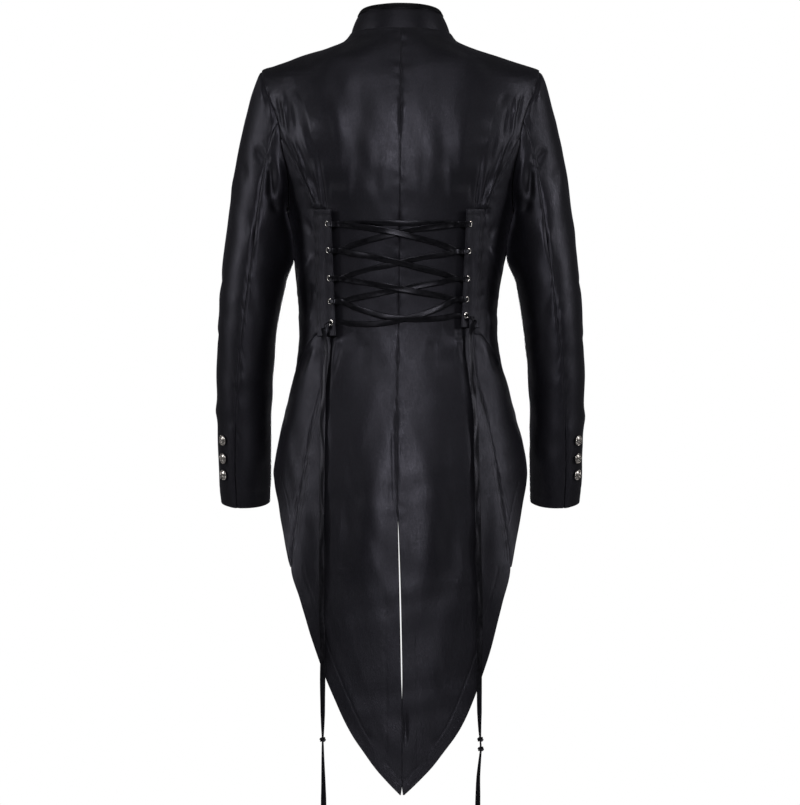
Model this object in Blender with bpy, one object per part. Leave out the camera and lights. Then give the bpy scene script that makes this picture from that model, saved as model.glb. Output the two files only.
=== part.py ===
"""A Victorian tailcoat in velvet, worn and hollow, with nobody in it.

Metres, +Z up. The coat's front faces -Y and its back +Y, so the wearer's left is +X.
The origin is between the two neck points, where the coat rests on the shoulders.
Each panel is a wall of cloth lofted on one body form and cut along its seams. A "level"
is a height on the form: it is z on the back, and the front of the upper levels drops
towards the throat.
"""

import math

import bmesh
import bpy
from mathutils import Matrix, Vector

# Cloth
CLOTH = 0.0018
SEAM_GAP = 0.0004
SIDES = (("left", 1), ("right", -1))

# The body form: one row for each level, all in metres.
FORM_COLUMNS = ("level", "half_width", "back", "front", "sway")
FORM = (
    (0.000, 0.0700, 0.0680, 0.0640, 0.0000),
    (-0.012, 0.0800, 0.0740, 0.0720, 0.0000),
    (-0.024, 0.1080, 0.0790, 0.0790, 0.0000),
    (-0.036, 0.1460, 0.0840, 0.0850, 0.0000),
    (-0.046, 0.1750, 0.0880, 0.0890, 0.0000),
    (-0.053, 0.1940, 0.0910, 0.0920, 0.0000),
    (-0.094, 0.2090, 0.1060, 0.1060, 0.0000),
    (-0.120, 0.2050, 0.1130, 0.1140, 0.0000),
    (-0.161, 0.2000, 0.1190, 0.1240, 0.0000),
    (-0.192, 0.1850, 0.1200, 0.1300, 0.0000),
    (-0.225, 0.1680, 0.1170, 0.1340, 0.0000),
    (-0.250, 0.1580, 0.1120, 0.1350, 0.0000),
    (-0.300, 0.1485, 0.1010, 0.1280, 0.0010),
    (-0.351, 0.1430, 0.0910, 0.1150, 0.0030),
    (-0.393, 0.1390, 0.0850, 0.1060, 0.0035),
    (-0.414, 0.1390, 0.0840, 0.1040, 0.0033),
    (-0.456, 0.1425, 0.0890, 0.1060, 0.0020),
    (-0.498, 0.1526, 0.1000, 0.1100, 0.0010),
    (-0.540, 0.1630, 0.1120, 0.1150, 0.0005),
    (-0.582, 0.1736, 0.1230, 0.1200, 0.0000),
    (-0.624, 0.1800, 0.1300, 0.1240, 0.0000),
    (-0.700, 0.1960, 0.1350, 0.1260, 0.0000),
    (-0.800, 0.2200, 0.1360, 0.1260, -0.0020),
    (-0.880, 0.2360, 0.1350, 0.1260, -0.0040),
    (-0.940, 0.2480, 0.1340, 0.1260, -0.0052),
    (-1.000, 0.2600, 0.1335, 0.1260, -0.0040),
    (-1.050, 0.2700, 0.1330, 0.1260, -0.0020),
)

# How far the front of a level hangs below its back.
THROAT_COLUMNS = ("level", "drop")
THROAT = ((0.000, 0.055), (-0.053, 0.044), (-0.150, 0.018), (-0.250, 0.000), (-0.300, 0.000))
BUST = {"x": 0.082, "z": -0.262, "height": 0.011, "radius": 0.058, "bridge": 0.030}

# The armhole is an ellipse on the form, from the shoulder tip down to the armpit.
ARMHOLE_TOP = -0.053
ARMHOLE_FOOT = -0.250
ARMHOLE_BACK = math.radians(35)
ARMHOLE_FRONT = math.radians(39)
ARMHOLE_STEPS = 10
SIDE = math.radians(90)
JUNCTION_STEP = 5

# Seams on the back, as x against the level.
CENTRE_COLUMNS = ("level", "x", "half_gap")
CENTRE_BACK = (
    (0.000, -0.0010, 0.0002),
    (-0.250, 0.0010, 0.0002),
    (-0.420, 0.0030, 0.0002),
    (-0.557, 0.0058, 0.0002),
    (-0.660, 0.0038, 0.0002),
    (-0.700, 0.0026, 0.0010),
    (-0.785, 0.0003, 0.0015),
    (-0.880, -0.0015, 0.0014),
    (-0.925, -0.0020, 0.0003),
    (-1.0455, -0.0018, 0.0003),
)
BACK_EDGE_COLUMNS = ("level", "x")
BACK_EDGE = (
    (-0.1515, 0.1640),
    (-0.212, 0.1355),
    (-0.250, 0.1190),
    (-0.290, 0.1122),
    (-0.330, 0.1112),
    (-0.387, 0.1100),
    (-0.404, 0.1085),
    (-0.4213, 0.1045),
    (-0.455, 0.1050),
    (-0.490, 0.1088),
    (-0.530, 0.1185),
    (-0.575, 0.1275),
    (-0.620, 0.1350),
    (-0.670, 0.1425),
    (-0.740, 0.1500),
    (-0.786, 0.1380),
    (-0.826, 0.1267),
    (-0.866, 0.1142),
    (-0.907, 0.0986),
    (-0.948, 0.0805),
    (-0.968, 0.0690),
    (-0.988, 0.0544),
    (-1.009, 0.0385),
    (-1.029, 0.0200),
    (-1.0455, 0.0030),
)

# Levels of the back's rows below the armhole; the last few of the bodice end at the waist seam.
BODICE_LEVELS = (-0.268, -0.288, -0.309, -0.330, -0.350, -0.370)
WAIST_START = -0.370
WAIST_INNER = -0.4213
WAIST_STEPS = 3
SKIRT_LEVELS = (-0.455, -0.490, -0.530, -0.575, -0.620, -0.670, -0.740)
TAIL_LEVELS = (-0.800, -0.860, -0.907, -0.948, -0.980, -1.010, -1.032, -1.0455)
SHOULDER_LEVELS = (0.000, -0.012, -0.024, -0.036, -0.046)

# The waist seam runs from the strap's foot down over the side to the front's point.
WAIST_COLUMNS = ("angle", "z")
WAIST_SEAM = (
    (40, -0.4213),
    (52, -0.4213),
    (62, -0.432),
    (72, -0.450),
    (82, -0.466),
    (90, -0.4746),
    (105, -0.482),
    (125, -0.489),
    (150, -0.500),
    (180, -0.520),
    (190, -0.523),
)
SIDE_COLUMNS = 4
FRONT_ANGLES = (90, 98, 107, 116, 125, 135, 145, 155, 164)
SKIRT_FRONT_COLUMNS = 4

# The cut-away edge of the skirt, one row for each row of the skirt below the waist.
CUTAWAY_COLUMNS = ("angle", "z")
CUTAWAY = (
    (114, -0.530),
    (102, -0.571),
    (90, -0.605),
    (77, -0.626),
    (67, -0.650),
    (57.5, -0.688),
)

# The centre back panel's columns lie close together at its pleats.
BACK_FRACTIONS = (0, 0.16, 0.32, 0.47, 0.61, 0.72, 0.80, 0.86, 0.91, 0.955, 1.0)

# Pleats that fan up from the strap: x and level at the foot and at the top.
PLEAT_COLUMNS = ("foot_x", "foot_level", "top_x", "top_level", "height", "foot_half", "top_half")
PLEATS = (
    (0.1150, -0.249, 0.1480, -0.145, 0.0042, 0.0042, 0.0100),
    (0.1068, -0.249, 0.1280, -0.128, 0.0045, 0.0040, 0.0110),
    (0.0830, -0.430, 0.1040, -0.560, 0.0050, 0.0055, 0.0120),
)

# Front lap and closing
LAP = 0.012
FRONT_BUTTON_LEVELS = (-0.070, -0.140, -0.210, -0.280, -0.350, -0.420)

# Collar
COLLAR_HEIGHT = {"back": 0.0350, "front": 0.0265}
COLLAR_TOP = {"half_width": 0.0560, "back": 0.0530, "front": 0.0600, "forward": 0.004}
COLLAR_ROWS = 2
COLLAR_BACK_ANGLES = (0, 15, 30, 45, 60, 75)
COLLAR_BELLY = 0.0015
COLLAR_OPENING = math.radians(1.5)
BINDING_HEIGHT = 0.006
BINDING_THICKNESS = 0.0008

# Sleeves: tube sections below the cap.
SLEEVE_COLUMNS = ("z", "centre_x", "centre_y", "half_x", "half_y", "tilt", "twist")
SLEEVE = (
    (-0.300, 0.1995, 0.000, 0.0462, 0.0610, 0.00, 8),
    (-0.351, 0.2065, 0.001, 0.0455, 0.0585, 0.00, 8),
    (-0.400, 0.2126, 0.001, 0.0425, 0.0550, 0.03, 7),
    (-0.450, 0.2168, -0.004, 0.0409, 0.0520, 0.08, 4),
    (-0.500, 0.2190, -0.012, 0.0393, 0.0495, 0.12, 0),
    (-0.550, 0.2197, -0.022, 0.0380, 0.0475, 0.16, -4),
    (-0.605, 0.2197, -0.034, 0.0375, 0.0460, 0.19, -6),
    (-0.656, 0.2191, -0.046, 0.0348, 0.0435, 0.20, -6),
)
CAP_STEPS = (0, 0.09, 0.20, 0.33, 0.48, 0.65, 0.83)
CAP_LEAVE = {"tip": (0.060, 0.0, -0.058), "pit": (0.030, 0.0, -0.046)}
CAP_ARRIVE = {"tip": (0.025, 0.0, -0.240), "pit": (0.010, 0.0, -0.055)}
ARMHOLE_STEP_IN = 0.7
SLEEVE_STEP = math.radians(18)
ELBOW_SEAM = 4
INNER_SEAM = 13
CUFF_BUTTON_TURN = math.radians(44)
CUFF_BUTTON_LEVELS = (-0.563, -0.588, -0.611)

# Button: a domed metal shell on a short shank.
BUTTON_RADIUS = 0.0074
BUTTON_HEIGHT = 0.0040
BUTTON_SHANK = 0.0022
BUTTON_LIFT = 0.0012
BUTTON_GAP = 0.0003
BUTTON_SEGMENTS = 8

# Lacing straps, eyelets and lace
STRAP_THICKNESS = 0.0016
STRAP_CLEAR = 0.0007
STRAP_LIFT = 0.0045
STRAP_SEWN = 0.35
STRAP_ROWS = 9
STRAP_SHARES = (0, 0.2, 0.38, 0.54, 0.7, 0.85, 1.0)
STRAP_TOP = -0.2515
STRAPS = {
    "left": {"foot": -0.4250, "edge": (0.0918, 0.0862), "sewn": (0.1184, 0.1140)},
    "right": {"foot": -0.4130, "edge": (0.0872, 0.0806), "sewn": (0.1140, 0.1085)},
}
EYELET_LEVELS = {
    "left": (-0.2710, -0.3070, -0.3450, -0.3765, -0.4060),
    "right": (-0.2710, -0.3078, -0.3452, -0.3735, -0.3960),
}
EYELET_INSET = 0.0062
EYELET_BORE = 0.0022
EYELET_BARREL = 0.0026
EYELET_HOLE = 0.0031
EYELET_FLANGE = 0.0046
EYELET_RISE = 0.0008
EYELET_GAP = 0.0003
EYELET_SEGMENTS = 10
LACE_WIDTH = 0.0070
LACE_THICKNESS = 0.0008
LACE_IN_HOLE = 0.0032
LACE_LOW = 0.0014
LACE_HIGH = 0.0030
LACE_CLEAR = 0.10
LACE_CLEAR_FIRST = 0.24
LACE_DEPART = 0.006
LACE_ARRIVE = 0.003
LACE_RISES = (0.005, 0.002, 0.000, -0.014)
LACE_SHARES = (0, 0.12, 0.25, 0.37, 0.50, 0.63, 0.75, 0.88, 1.0)
LACE_TOP_SHARES = (0, 0.2, 0.4, 0.6, 0.8, 1.0)

# Through an eyelet: distance towards the strap's edge, height off its face or back, width.
LACE_HOLE = (
    (0.0040, -0.0024, 0.0050),
    (0.0012, -0.0016, 0.0036),
    (0.0000, -0.0005, 0.0032),
    (0.0000, 0.0004, 0.0032),
    (0.0012, 0.0014, 0.0040),
    (0.0042, 0.0014, 0.0058),
    (0.0085, 0.0008, 0.0070),
)
LACE_HOLE_OUT = 4

# The free ends: distance from the centre, height, lift off the cloth, width, turn of its width.
LACE_END_COLUMNS = ("x", "z", "lift", "width", "turn")
LACE_ENDS = {
    "left": (
        (0.0960, -0.4085, 0.0110, 0.0045, 100),
        (0.1010, -0.4140, 0.0095, 0.0060, 125),
        (0.1010, -0.4230, 0.0080, 0.0065, 150),
        (0.0990, -0.4340, 0.0070, 0.0055, 180),
        (0.0985, -0.4510, 0.0062, 0.0045, 180),
        (0.1005, -0.4700, 0.0058, 0.0062, 180),
        (0.1024, -0.4900, 0.0052, 0.0070, 180),
        (0.1036, -0.5200, 0.0046, 0.0070, 180),
        (0.1047, -0.5520, 0.0040, 0.0070, 180),
        (0.1050, -0.5850, 0.0032, 0.0070, 180),
        (0.1052, -0.6200, 0.0032, 0.0070, 180),
        (0.1055, -0.6550, 0.0032, 0.0070, 180),
        (0.1056, -0.6910, 0.0032, 0.0070, 180),
        (0.1056, -0.7400, 0.0032, 0.0070, 180),
        (0.1056, -0.7900, 0.0032, 0.0070, 180),
        (0.1055, -0.8400, 0.0032, 0.0070, 180),
        (0.1054, -0.8900, 0.0032, 0.0068, 180),
        (0.1053, -0.9350, 0.0032, 0.0060, 180),
        (0.1052, -0.9600, 0.0032, 0.0036, 180),
        (0.1052, -0.9715, 0.0032, 0.0022, 180),
        (0.1051, -0.9850, 0.0032, 0.0030, 180),
        (0.1048, -1.0050, 0.0032, 0.0040, 180),
        (0.1044, -1.0250, 0.0032, 0.0052, 180),
        (0.1040, -1.0500, 0.0032, 0.0066, 180),
        (0.1040, -1.0720, 0.0032, 0.0070, 180),
    ),
    "right": (
        (0.0905, -0.3985, 0.0110, 0.0045, 100),
        (0.0965, -0.4020, 0.0095, 0.0060, 125),
        (0.0950, -0.4100, 0.0082, 0.0065, 150),
        (0.0930, -0.4210, 0.0062, 0.0055, 180),
        (0.0922, -0.4380, 0.0068, 0.0050, 180),
        (0.0935, -0.4600, 0.0060, 0.0062, 180),
        (0.0956, -0.4850, 0.0054, 0.0070, 180),
        (0.0985, -0.5200, 0.0046, 0.0070, 180),
        (0.1013, -0.5520, 0.0040, 0.0070, 180),
        (0.1020, -0.5850, 0.0032, 0.0070, 180),
        (0.1026, -0.6200, 0.0032, 0.0070, 180),
        (0.1031, -0.6520, 0.0032, 0.0070, 180),
        (0.1042, -0.6910, 0.0032, 0.0070, 180),
        (0.1052, -0.7400, 0.0032, 0.0070, 180),
        (0.1067, -0.7900, 0.0032, 0.0070, 180),
        (0.1067, -0.8400, 0.0032, 0.0070, 180),
        (0.1065, -0.8900, 0.0032, 0.0066, 180),
        (0.1066, -0.9350, 0.0032, 0.0058, 180),
        (0.1072, -0.9600, 0.0032, 0.0036, 180),
        (0.1078, -0.9710, 0.0032, 0.0022, 180),
        (0.1084, -0.9840, 0.0032, 0.0022, 180),
        (0.1070, -1.0000, 0.0032, 0.0034, 180),
        (0.1052, -1.0200, 0.0032, 0.0046, 180),
        (0.1045, -1.0480, 0.0032, 0.0062, 180),
        (0.1040, -1.0720, 0.0032, 0.0070, 180),
    ),
}
LACE_KNOTS = {"left": (-0.9715,), "right": (-0.9710, -0.9840)}
KNOT_HOLE = 0.0015
KNOT_THICKNESS = 0.0030


def lookup(table, columns, column, at):
    """A smooth curve through one column of a table whose first column falls or rises steadily."""
    place = columns.index(column)
    keys = [row[0] for row in table]
    values = [row[place] for row in table]
    if keys[0] > keys[-1]:
        keys, values = keys[::-1], values[::-1]
    if at <= keys[0]:
        return values[0]
    if at >= keys[-1]:
        return values[-1]
    i = max(k for k in range(len(keys) - 1) if keys[k] <= at)
    slopes = [(values[k + 1] - values[k]) / (keys[k + 1] - keys[k]) for k in range(len(keys) - 1)]

    def tangent(k):
        if k == 0:
            return slopes[0]
        if k == len(keys) - 1:
            return slopes[-1]
        before, after = slopes[k - 1], slopes[k]
        if before * after <= 0:
            return 0.0
        return 2 * before * after / (before + after)

    span = keys[i + 1] - keys[i]
    t = (at - keys[i]) / span
    start = (2 * t**3 - 3 * t**2 + 1) * values[i] + (t**3 - 2 * t**2 + t) * span * tangent(i)
    end = (-2 * t**3 + 3 * t**2) * values[i + 1] + (t**3 - t**2) * span * tangent(i + 1)
    return start + end


def form(column, level):
    return lookup(FORM, FORM_COLUMNS, column, level)


def ease(value, start, end):
    t = min(1.0, max(0.0, (value - start) / (end - start)))
    return t * t * (3 - 2 * t)


def mix(a, b, t):
    return a + (b - a) * t


def bare_form(angle, level, side):
    """The body form: angle 0 is the centre back, 90 degrees the side, 180 the centre front."""
    x = form("half_width", level) * math.sin(angle)
    depth = form("back", level) if math.cos(angle) >= 0 else form("front", level)
    y = depth * math.cos(angle)
    forward = ease(-math.cos(angle), 0, 1)
    z = level - lookup(THROAT, THROAT_COLUMNS, "drop", level) * forward
    return Vector((side * x + form("sway", level), y, z))


def form_normal(angle, level, side):
    step = 0.002
    around = bare_form(angle + step, level, side) - bare_form(angle - step, level, side)
    down = bare_form(angle, level - step, side) - bare_form(angle, level + step, side)
    return (around.cross(down) * side).normalized()


def bust_height(point):
    if point.y > 0:
        return 0.0
    across = max(abs(point.x), BUST["bridge"])
    away = math.hypot(across - BUST["x"], point.z - BUST["z"])
    return BUST["height"] * math.exp(-((away / BUST["radius"]) ** 2))


def pleat_height(x, level):
    """Rolls of cloth that stand up between two troughs and fade towards their top."""
    height = 0.0
    for row in PLEATS:
        pleat = dict(zip(PLEAT_COLUMNS, row))
        run = (level - pleat["foot_level"]) / (pleat["top_level"] - pleat["foot_level"])
        if not 0 <= run <= 1:
            continue
        centre = mix(pleat["foot_x"], pleat["top_x"], run)
        half = mix(pleat["foot_half"], pleat["top_half"], run)
        away = (x - centre) / half
        height += pleat["height"] * (1 - run) ** 1.3 * math.exp(-away * away)
    return height


def on_form(angle, level, side, lift=0.0):
    point = bare_form(angle, level, side)
    normal = form_normal(angle, level, side)
    raised = lift + bust_height(point)
    if math.cos(angle) > 0:
        raised += pleat_height(form("half_width", level) * math.sin(angle), level)
    return point + normal * raised


def angle_at(x, level, side):
    """The angle at which the form stands at a given distance x, on the back."""
    share = side * (x - form("sway", level)) / form("half_width", level)
    return math.asin(max(-1.0, min(1.0, share)))


def armhole_levels():
    middle = (ARMHOLE_TOP + ARMHOLE_FOOT) / 2
    half = (ARMHOLE_TOP - ARMHOLE_FOOT) / 2
    turns = [math.pi * step / ARMHOLE_STEPS for step in range(ARMHOLE_STEPS + 1)]
    return [middle + half * math.cos(turn) for turn in turns]


def armhole_angle(step, front):
    turn = math.pi * step / ARMHOLE_STEPS
    reach = ARMHOLE_FRONT if front else -ARMHOLE_BACK
    return SIDE + reach * math.sin(turn)


def waist_z(angle):
    return lookup(WAIST_SEAM, WAIST_COLUMNS, "z", math.degrees(angle))


def skin(angle, level, side, lift=0.0):
    """A point of the cloth's outer face and the one behind it on its inner face."""
    outer = on_form(angle, level, side, lift)
    return outer, outer - form_normal(angle, level, side) * CLOTH


def drawn_in(rows):
    """Moves the four edges of a grid of points in by half the seam's gap."""

    def towards(a, b):
        return a + (b - a).normalized() * (SEAM_GAP / 2)

    first = [towards(a, b) for a, b in zip(rows[0], rows[1])]
    last = [towards(a, b) for a, b in zip(rows[-1], rows[-2])]
    rows = [first, *rows[1:-1], last]
    return [[towards(row[0], row[1]), *row[1:-1], towards(row[-1], row[-2])] for row in rows]


def wall(name, pairs, material, seams=True):
    """A cloth wall lofted through rows of outer and inner points, closed round its edges."""
    layers = [[[pair[face] for pair in row] for row in pairs] for face in (0, 1)]
    if seams:
        layers = [drawn_in(rows) for rows in layers]
    shape = bmesh.new()
    outer, inner = ([[shape.verts.new(p) for p in row] for row in rows] for rows in layers)
    for rows in (outer, inner):
        for upper, lower in zip(rows, rows[1:]):
            for k in range(len(upper) - 1):
                shape.faces.new((upper[k], lower[k], lower[k + 1], upper[k + 1]))
    for face_rim, back_rim in zip(rim(outer), rim(inner)):
        for k in range(len(face_rim) - 1):
            shape.faces.new((face_rim[k], face_rim[k + 1], back_rim[k + 1], back_rim[k]))
    return new_object(name, shape, material)


def rim(rows):
    """The four edges of a grid, one after the other."""
    left = [row[0] for row in rows]
    right = [row[-1] for row in rows]
    return (rows[0], right, rows[-1][::-1], left[::-1])


def new_object(name, shape, material):
    bmesh.ops.recalc_face_normals(shape, faces=shape.faces)
    if shape.calc_volume(signed=True) < 0:
        bmesh.ops.reverse_faces(shape, faces=shape.faces)
    mesh = bpy.data.meshes.new(name)
    shape.to_mesh(mesh)
    shape.free()
    mesh.materials.append(material)
    mesh.shade_smooth()
    mesh.set_sharp_from_angle(angle=math.radians(50))
    obj = bpy.data.objects.new(name, mesh)
    collection.objects.link(obj)
    return obj


def back_rows(side):
    """The centre back: neck and shoulder seam, armhole, princess seam, then the tail."""
    edges = [(level, SIDE) for level in SHOULDER_LEVELS]
    levels = armhole_levels()
    for step in range(JUNCTION_STEP + 1):
        edges.append((levels[step], armhole_angle(step, front=False)))
    waist = [mix(WAIST_START, WAIST_INNER, step / WAIST_STEPS) for step in (1, 2, 3)]
    lower = [*levels[JUNCTION_STEP + 1 :], *BODICE_LEVELS, *waist, *SKIRT_LEVELS, *TAIL_LEVELS]
    edges += [(level, princess_angle(level)) for level in lower]
    rows = []
    for level, outer in edges:
        half_gap = lookup(CENTRE_BACK, CENTRE_COLUMNS, "half_gap", level) - SEAM_GAP / 2
        centre = lookup(CENTRE_BACK, CENTRE_COLUMNS, "x", level) + side * half_gap
        inner = angle_at(centre, level, side)
        rows.append([skin(mix(inner, outer, f), level, side) for f in BACK_FRACTIONS])
    return rows


def princess_angle(level):
    x = lookup(BACK_EDGE, BACK_EDGE_COLUMNS, "x", level)
    return math.asin(min(1.0, x / form("half_width", level)))


def side_rows(side):
    """The side back: from the princess seam to the side seam, under the arm."""
    levels = armhole_levels()
    edges = []
    for step in range(JUNCTION_STEP + 1, ARMHOLE_STEPS + 1):
        edges.append((levels[step], 0, armhole_angle(step, front=False)))
    edges += [(level, 0, SIDE) for level in BODICE_LEVELS]
    edges += [(WAIST_START, step, SIDE) for step in range(1, WAIST_STEPS + 1)]
    rows = []
    for level, step, outer in edges:
        drop = step / WAIST_STEPS
        inner = princess_angle(mix(level, WAIST_INNER, drop))
        angles = [mix(inner, outer, column / SIDE_COLUMNS) for column in range(SIDE_COLUMNS + 1)]
        rows.append([skin(a, mix(level, waist_z(a), drop), side) for a in angles])
    corner = skin(armhole_angle(JUNCTION_STEP, front=False), levels[JUNCTION_STEP], side)
    top = [tuple(a.lerp(b, 0.2) for a, b in zip(corner, pair)) for pair in rows[0]]
    return [top, *rows]


def front_rows(side):
    """The front: neck, shoulder seam, armhole, side seam and waist, lapping past the centre."""
    levels = armhole_levels()
    edges = [(level, 0, SIDE) for level in SHOULDER_LEVELS]
    for step in range(ARMHOLE_STEPS + 1):
        edges.append((levels[step], 0, armhole_angle(step, front=True)))
    edges += [(level, 0, SIDE) for level in BODICE_LEVELS]
    edges += [(WAIST_START, step, SIDE) for step in range(1, WAIST_STEPS + 1)]
    full_lift = CLOTH + SEAM_GAP if side < 0 else 0.0
    rows = []
    for level, step, outer in edges:
        drop = step / WAIST_STEPS
        row = []
        for column in FRONT_ANGLES:
            share = (column - FRONT_ANGLES[0]) / (180 - FRONT_ANGLES[0])
            angle = mix(outer, math.pi, share)
            row.append(skin(angle, mix(level, waist_z(angle), drop), side))
        for x in (LAP, -LAP):
            place = mix(level, waist_z(math.pi), drop)
            angle = math.pi - math.asin(x / form("half_width", place))
            row.append(skin(angle, place, side, full_lift))
        rows.append(row)
    return rows


def skirt_rows(side):
    """The side of the skirt: waist seam, seam to the tail, and the cut-away edge."""
    inner = princess_angle(WAIST_INNER)
    top = [mix(inner, SIDE, column / SIDE_COLUMNS) for column in range(SIDE_COLUMNS)]
    top += [math.radians(angle) for angle in FRONT_ANGLES[: SKIRT_FRONT_COLUMNS + 1]]
    shares = [(angle - top[0]) / (top[-1] - top[0]) for angle in top]
    rows = [[skin(angle, waist_z(angle), side) for angle in top]]
    for level, (edge_angle, edge_z) in zip(SKIRT_LEVELS[:-1], CUTAWAY):
        inner = princess_angle(level)
        outer = math.radians(edge_angle)
        rows.append([skin(mix(inner, outer, s), mix(level, edge_z, s), side) for s in shares])
    corner = skin(princess_angle(SKIRT_LEVELS[-1]), SKIRT_LEVELS[-1], side)
    foot = [tuple(a.lerp(b, 0.85) for a, b in zip(pair, corner)) for pair in rows[-1]]
    return [*rows, foot]


def collar_pair(angle, share, side, lift=0.0, thickness=CLOTH):
    """The stand collar rises from the neck ring and leans in towards its own top ring."""
    foot = bare_form(angle, 0, side)
    foot.z += SEAM_GAP
    depth = COLLAR_TOP["back"] if math.cos(angle) >= 0 else COLLAR_TOP["front"]
    x = side * COLLAR_TOP["half_width"] * math.sin(angle)
    y = depth * math.cos(angle) - COLLAR_TOP["forward"]
    height = mix(COLLAR_HEIGHT["back"], COLLAR_HEIGHT["front"], (1 - math.cos(angle)) / 2)
    top = Vector((x, y, foot.z + height))
    belly = COLLAR_BELLY * math.sin(math.pi * share)
    out = Vector((side * math.sin(angle), math.cos(angle), 0))
    outer = foot.lerp(top, share) + out * (belly + lift)
    return outer, outer - out * thickness


def collar_rows(low, high, count, lift=0.0, thickness=CLOTH):
    """One strip all round the neck, from the right front edge over the back to the left."""
    half = [math.radians(angle) for angle in (*COLLAR_BACK_ANGLES, *FRONT_ANGLES)]
    half += [math.pi - math.asin(LAP / form("half_width", 0)), math.pi - COLLAR_OPENING]
    angles = [-angle for angle in half[:0:-1]] + half
    rows = []
    for k in range(count + 1):
        share = mix(high, low, k / count)
        rows.append([collar_pair(angle, share, 1, lift, thickness) for angle in angles])
    return rows


def sleeve_section(column, z):
    return lookup(SLEEVE, SLEEVE_COLUMNS, column, z)


def tube_point(turn, z, side):
    turn += math.radians(sleeve_section("twist", z))
    across = sleeve_section("half_x", z) * math.cos(turn)
    deep = sleeve_section("half_y", z) * math.sin(turn)
    x = sleeve_section("centre_x", z) + across
    y = sleeve_section("centre_y", z) + deep
    return Vector((side * x, y, z - sleeve_section("tilt", z) * deep))


def armhole_point(step, side):
    """A point of the armhole, counted from the shoulder tip over the back, and its normal.

    The point lies just off the panels' edges, towards the hole.
    """
    front = step > ARMHOLE_STEPS
    height = 2 * ARMHOLE_STEPS - step if front else step
    angle = armhole_angle(height, front)
    level = armhole_levels()[height]
    point = on_form(angle, level, side)
    middle = on_form(SIDE, (ARMHOLE_TOP + ARMHOLE_FOOT) / 2, side)
    into_hole = (middle - point).normalized()
    normal = form_normal(angle, level, side)
    return point + (normal + into_hole * ARMHOLE_STEP_IN) * SEAM_GAP, normal


def cap_point(step, t, side):
    """The sleeve head: a smooth curve from the armhole out and down to the first tube section."""
    turn = step * SLEEVE_STEP
    upward = (1 + math.cos(turn)) / 2
    start = armhole_point(step, side)[0]
    end = tube_point(turn, SLEEVE[0][0], side)
    leave = Vector(CAP_LEAVE["pit"]).lerp(Vector(CAP_LEAVE["tip"]), upward)
    arrive = Vector(CAP_ARRIVE["pit"]).lerp(Vector(CAP_ARRIVE["tip"]), upward)
    for tangent in (leave, arrive):
        tangent.x *= side
    return (
        start * (2 * t**3 - 3 * t**2 + 1)
        + leave * (t**3 - 2 * t**2 + t)
        + end * (-2 * t**3 + 3 * t**2)
        + arrive * (t**3 - t**2)
    )


def sleeve_rings(side):
    """Rings of outer and inner points from the armhole to the cuff.

    Over the shoulder the first ring's thickness lies along the panels' own edges, as a mitre.
    """
    steps = range(2 * ARMHOLE_STEPS)
    rings = [[cap_point(step, t, side) for step in steps] for t in CAP_STEPS]
    for section in SLEEVE:
        rings.append([tube_point(step * SLEEVE_STEP, section[0], side) for step in steps])
    paired = []
    for k, ring in enumerate(rings):
        above, below = rings[max(k - 1, 0)], rings[min(k + 1, len(rings) - 1)]
        row = []
        for step in steps:
            around = ring[(step + 1) % len(ring)] - ring[step - 1]
            normal = around.cross(below[step] - above[step]).normalized() * -side
            if k == 0:
                over_shoulder = ease(math.cos(step * SLEEVE_STEP), 0.1, 0.6)
                normal = normal.lerp(armhole_point(step, side)[1], over_shoulder)
            row.append((ring[step], ring[step] - normal * CLOTH))
        paired.append(row)
    return paired


def sleeve_rows(rings, first, last):
    return [[ring[step % len(ring)] for step in range(first, last + 1)] for ring in rings]


def strap_place(name, share, run):
    """Where on the form a point of a strap lies: share 0 is its sewn edge, 1 its free edge."""
    strap = STRAPS[name]
    level = mix(STRAP_TOP, strap["foot"], run)
    x = mix(mix(*strap["sewn"], run), mix(*strap["edge"], run), share)
    return x, level


def strap_pair(name, side, share, run):
    x, level = strap_place(name, share, run)
    angle = angle_at(side * x, level, side)
    under = STRAP_CLEAR + STRAP_LIFT * ease(share, STRAP_SEWN, 1)
    outer = on_form(angle, level, side, under + STRAP_THICKNESS)
    return outer, outer - form_normal(angle, level, side) * STRAP_THICKNESS


def eyelet_frame(name, side, number):
    """The middle of an eyelet's hole on the strap's outer face, its axis and the way to the edge."""
    level = EYELET_LEVELS[name][number]
    run = (level - STRAP_TOP) / (STRAPS[name]["foot"] - STRAP_TOP)
    width = strap_place(name, 0, run)[0] - strap_place(name, 1, run)[0]
    share = 1 - EYELET_INSET / width
    step = 0.06
    centre = strap_pair(name, side, share, run)[0]
    to_edge = strap_pair(name, side, share + step, run)[0] - strap_pair(name, side, share - step, run)[0]
    to_edge.normalize()
    down = strap_pair(name, side, share, run + step)[0] - strap_pair(name, side, share, run - step)[0]
    axis = down.cross(to_edge).normalized() * side
    return centre, axis, to_edge


def make_strap(name, side):
    runs = [k / STRAP_ROWS for k in range(STRAP_ROWS + 1)]
    rows = [[strap_pair(name, side, share, run) for share in STRAP_SHARES] for run in runs]
    strap = wall(f"strap_{name}", rows, velvet, seams=False)
    for number in range(len(EYELET_LEVELS[name])):
        centre, axis, _ = eyelet_frame(name, side, number)
        bpy.ops.mesh.primitive_cylinder_add(
            vertices=EYELET_SEGMENTS, radius=EYELET_HOLE, depth=6 * STRAP_THICKNESS
        )
        cutter = bpy.context.object
        cutter.name = f"cut_{name}_{number + 1}"
        cutter.display_type = "WIRE"
        cutter.hide_render = True
        for old in cutter.users_collection:
            old.objects.unlink(cutter)
        cutters.objects.link(cutter)
        stand(cutter, centre, axis)
        hole = strap.modifiers.new(cutter.name, "BOOLEAN")
        hole.operation = "DIFFERENCE"
        hole.object = cutter


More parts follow.
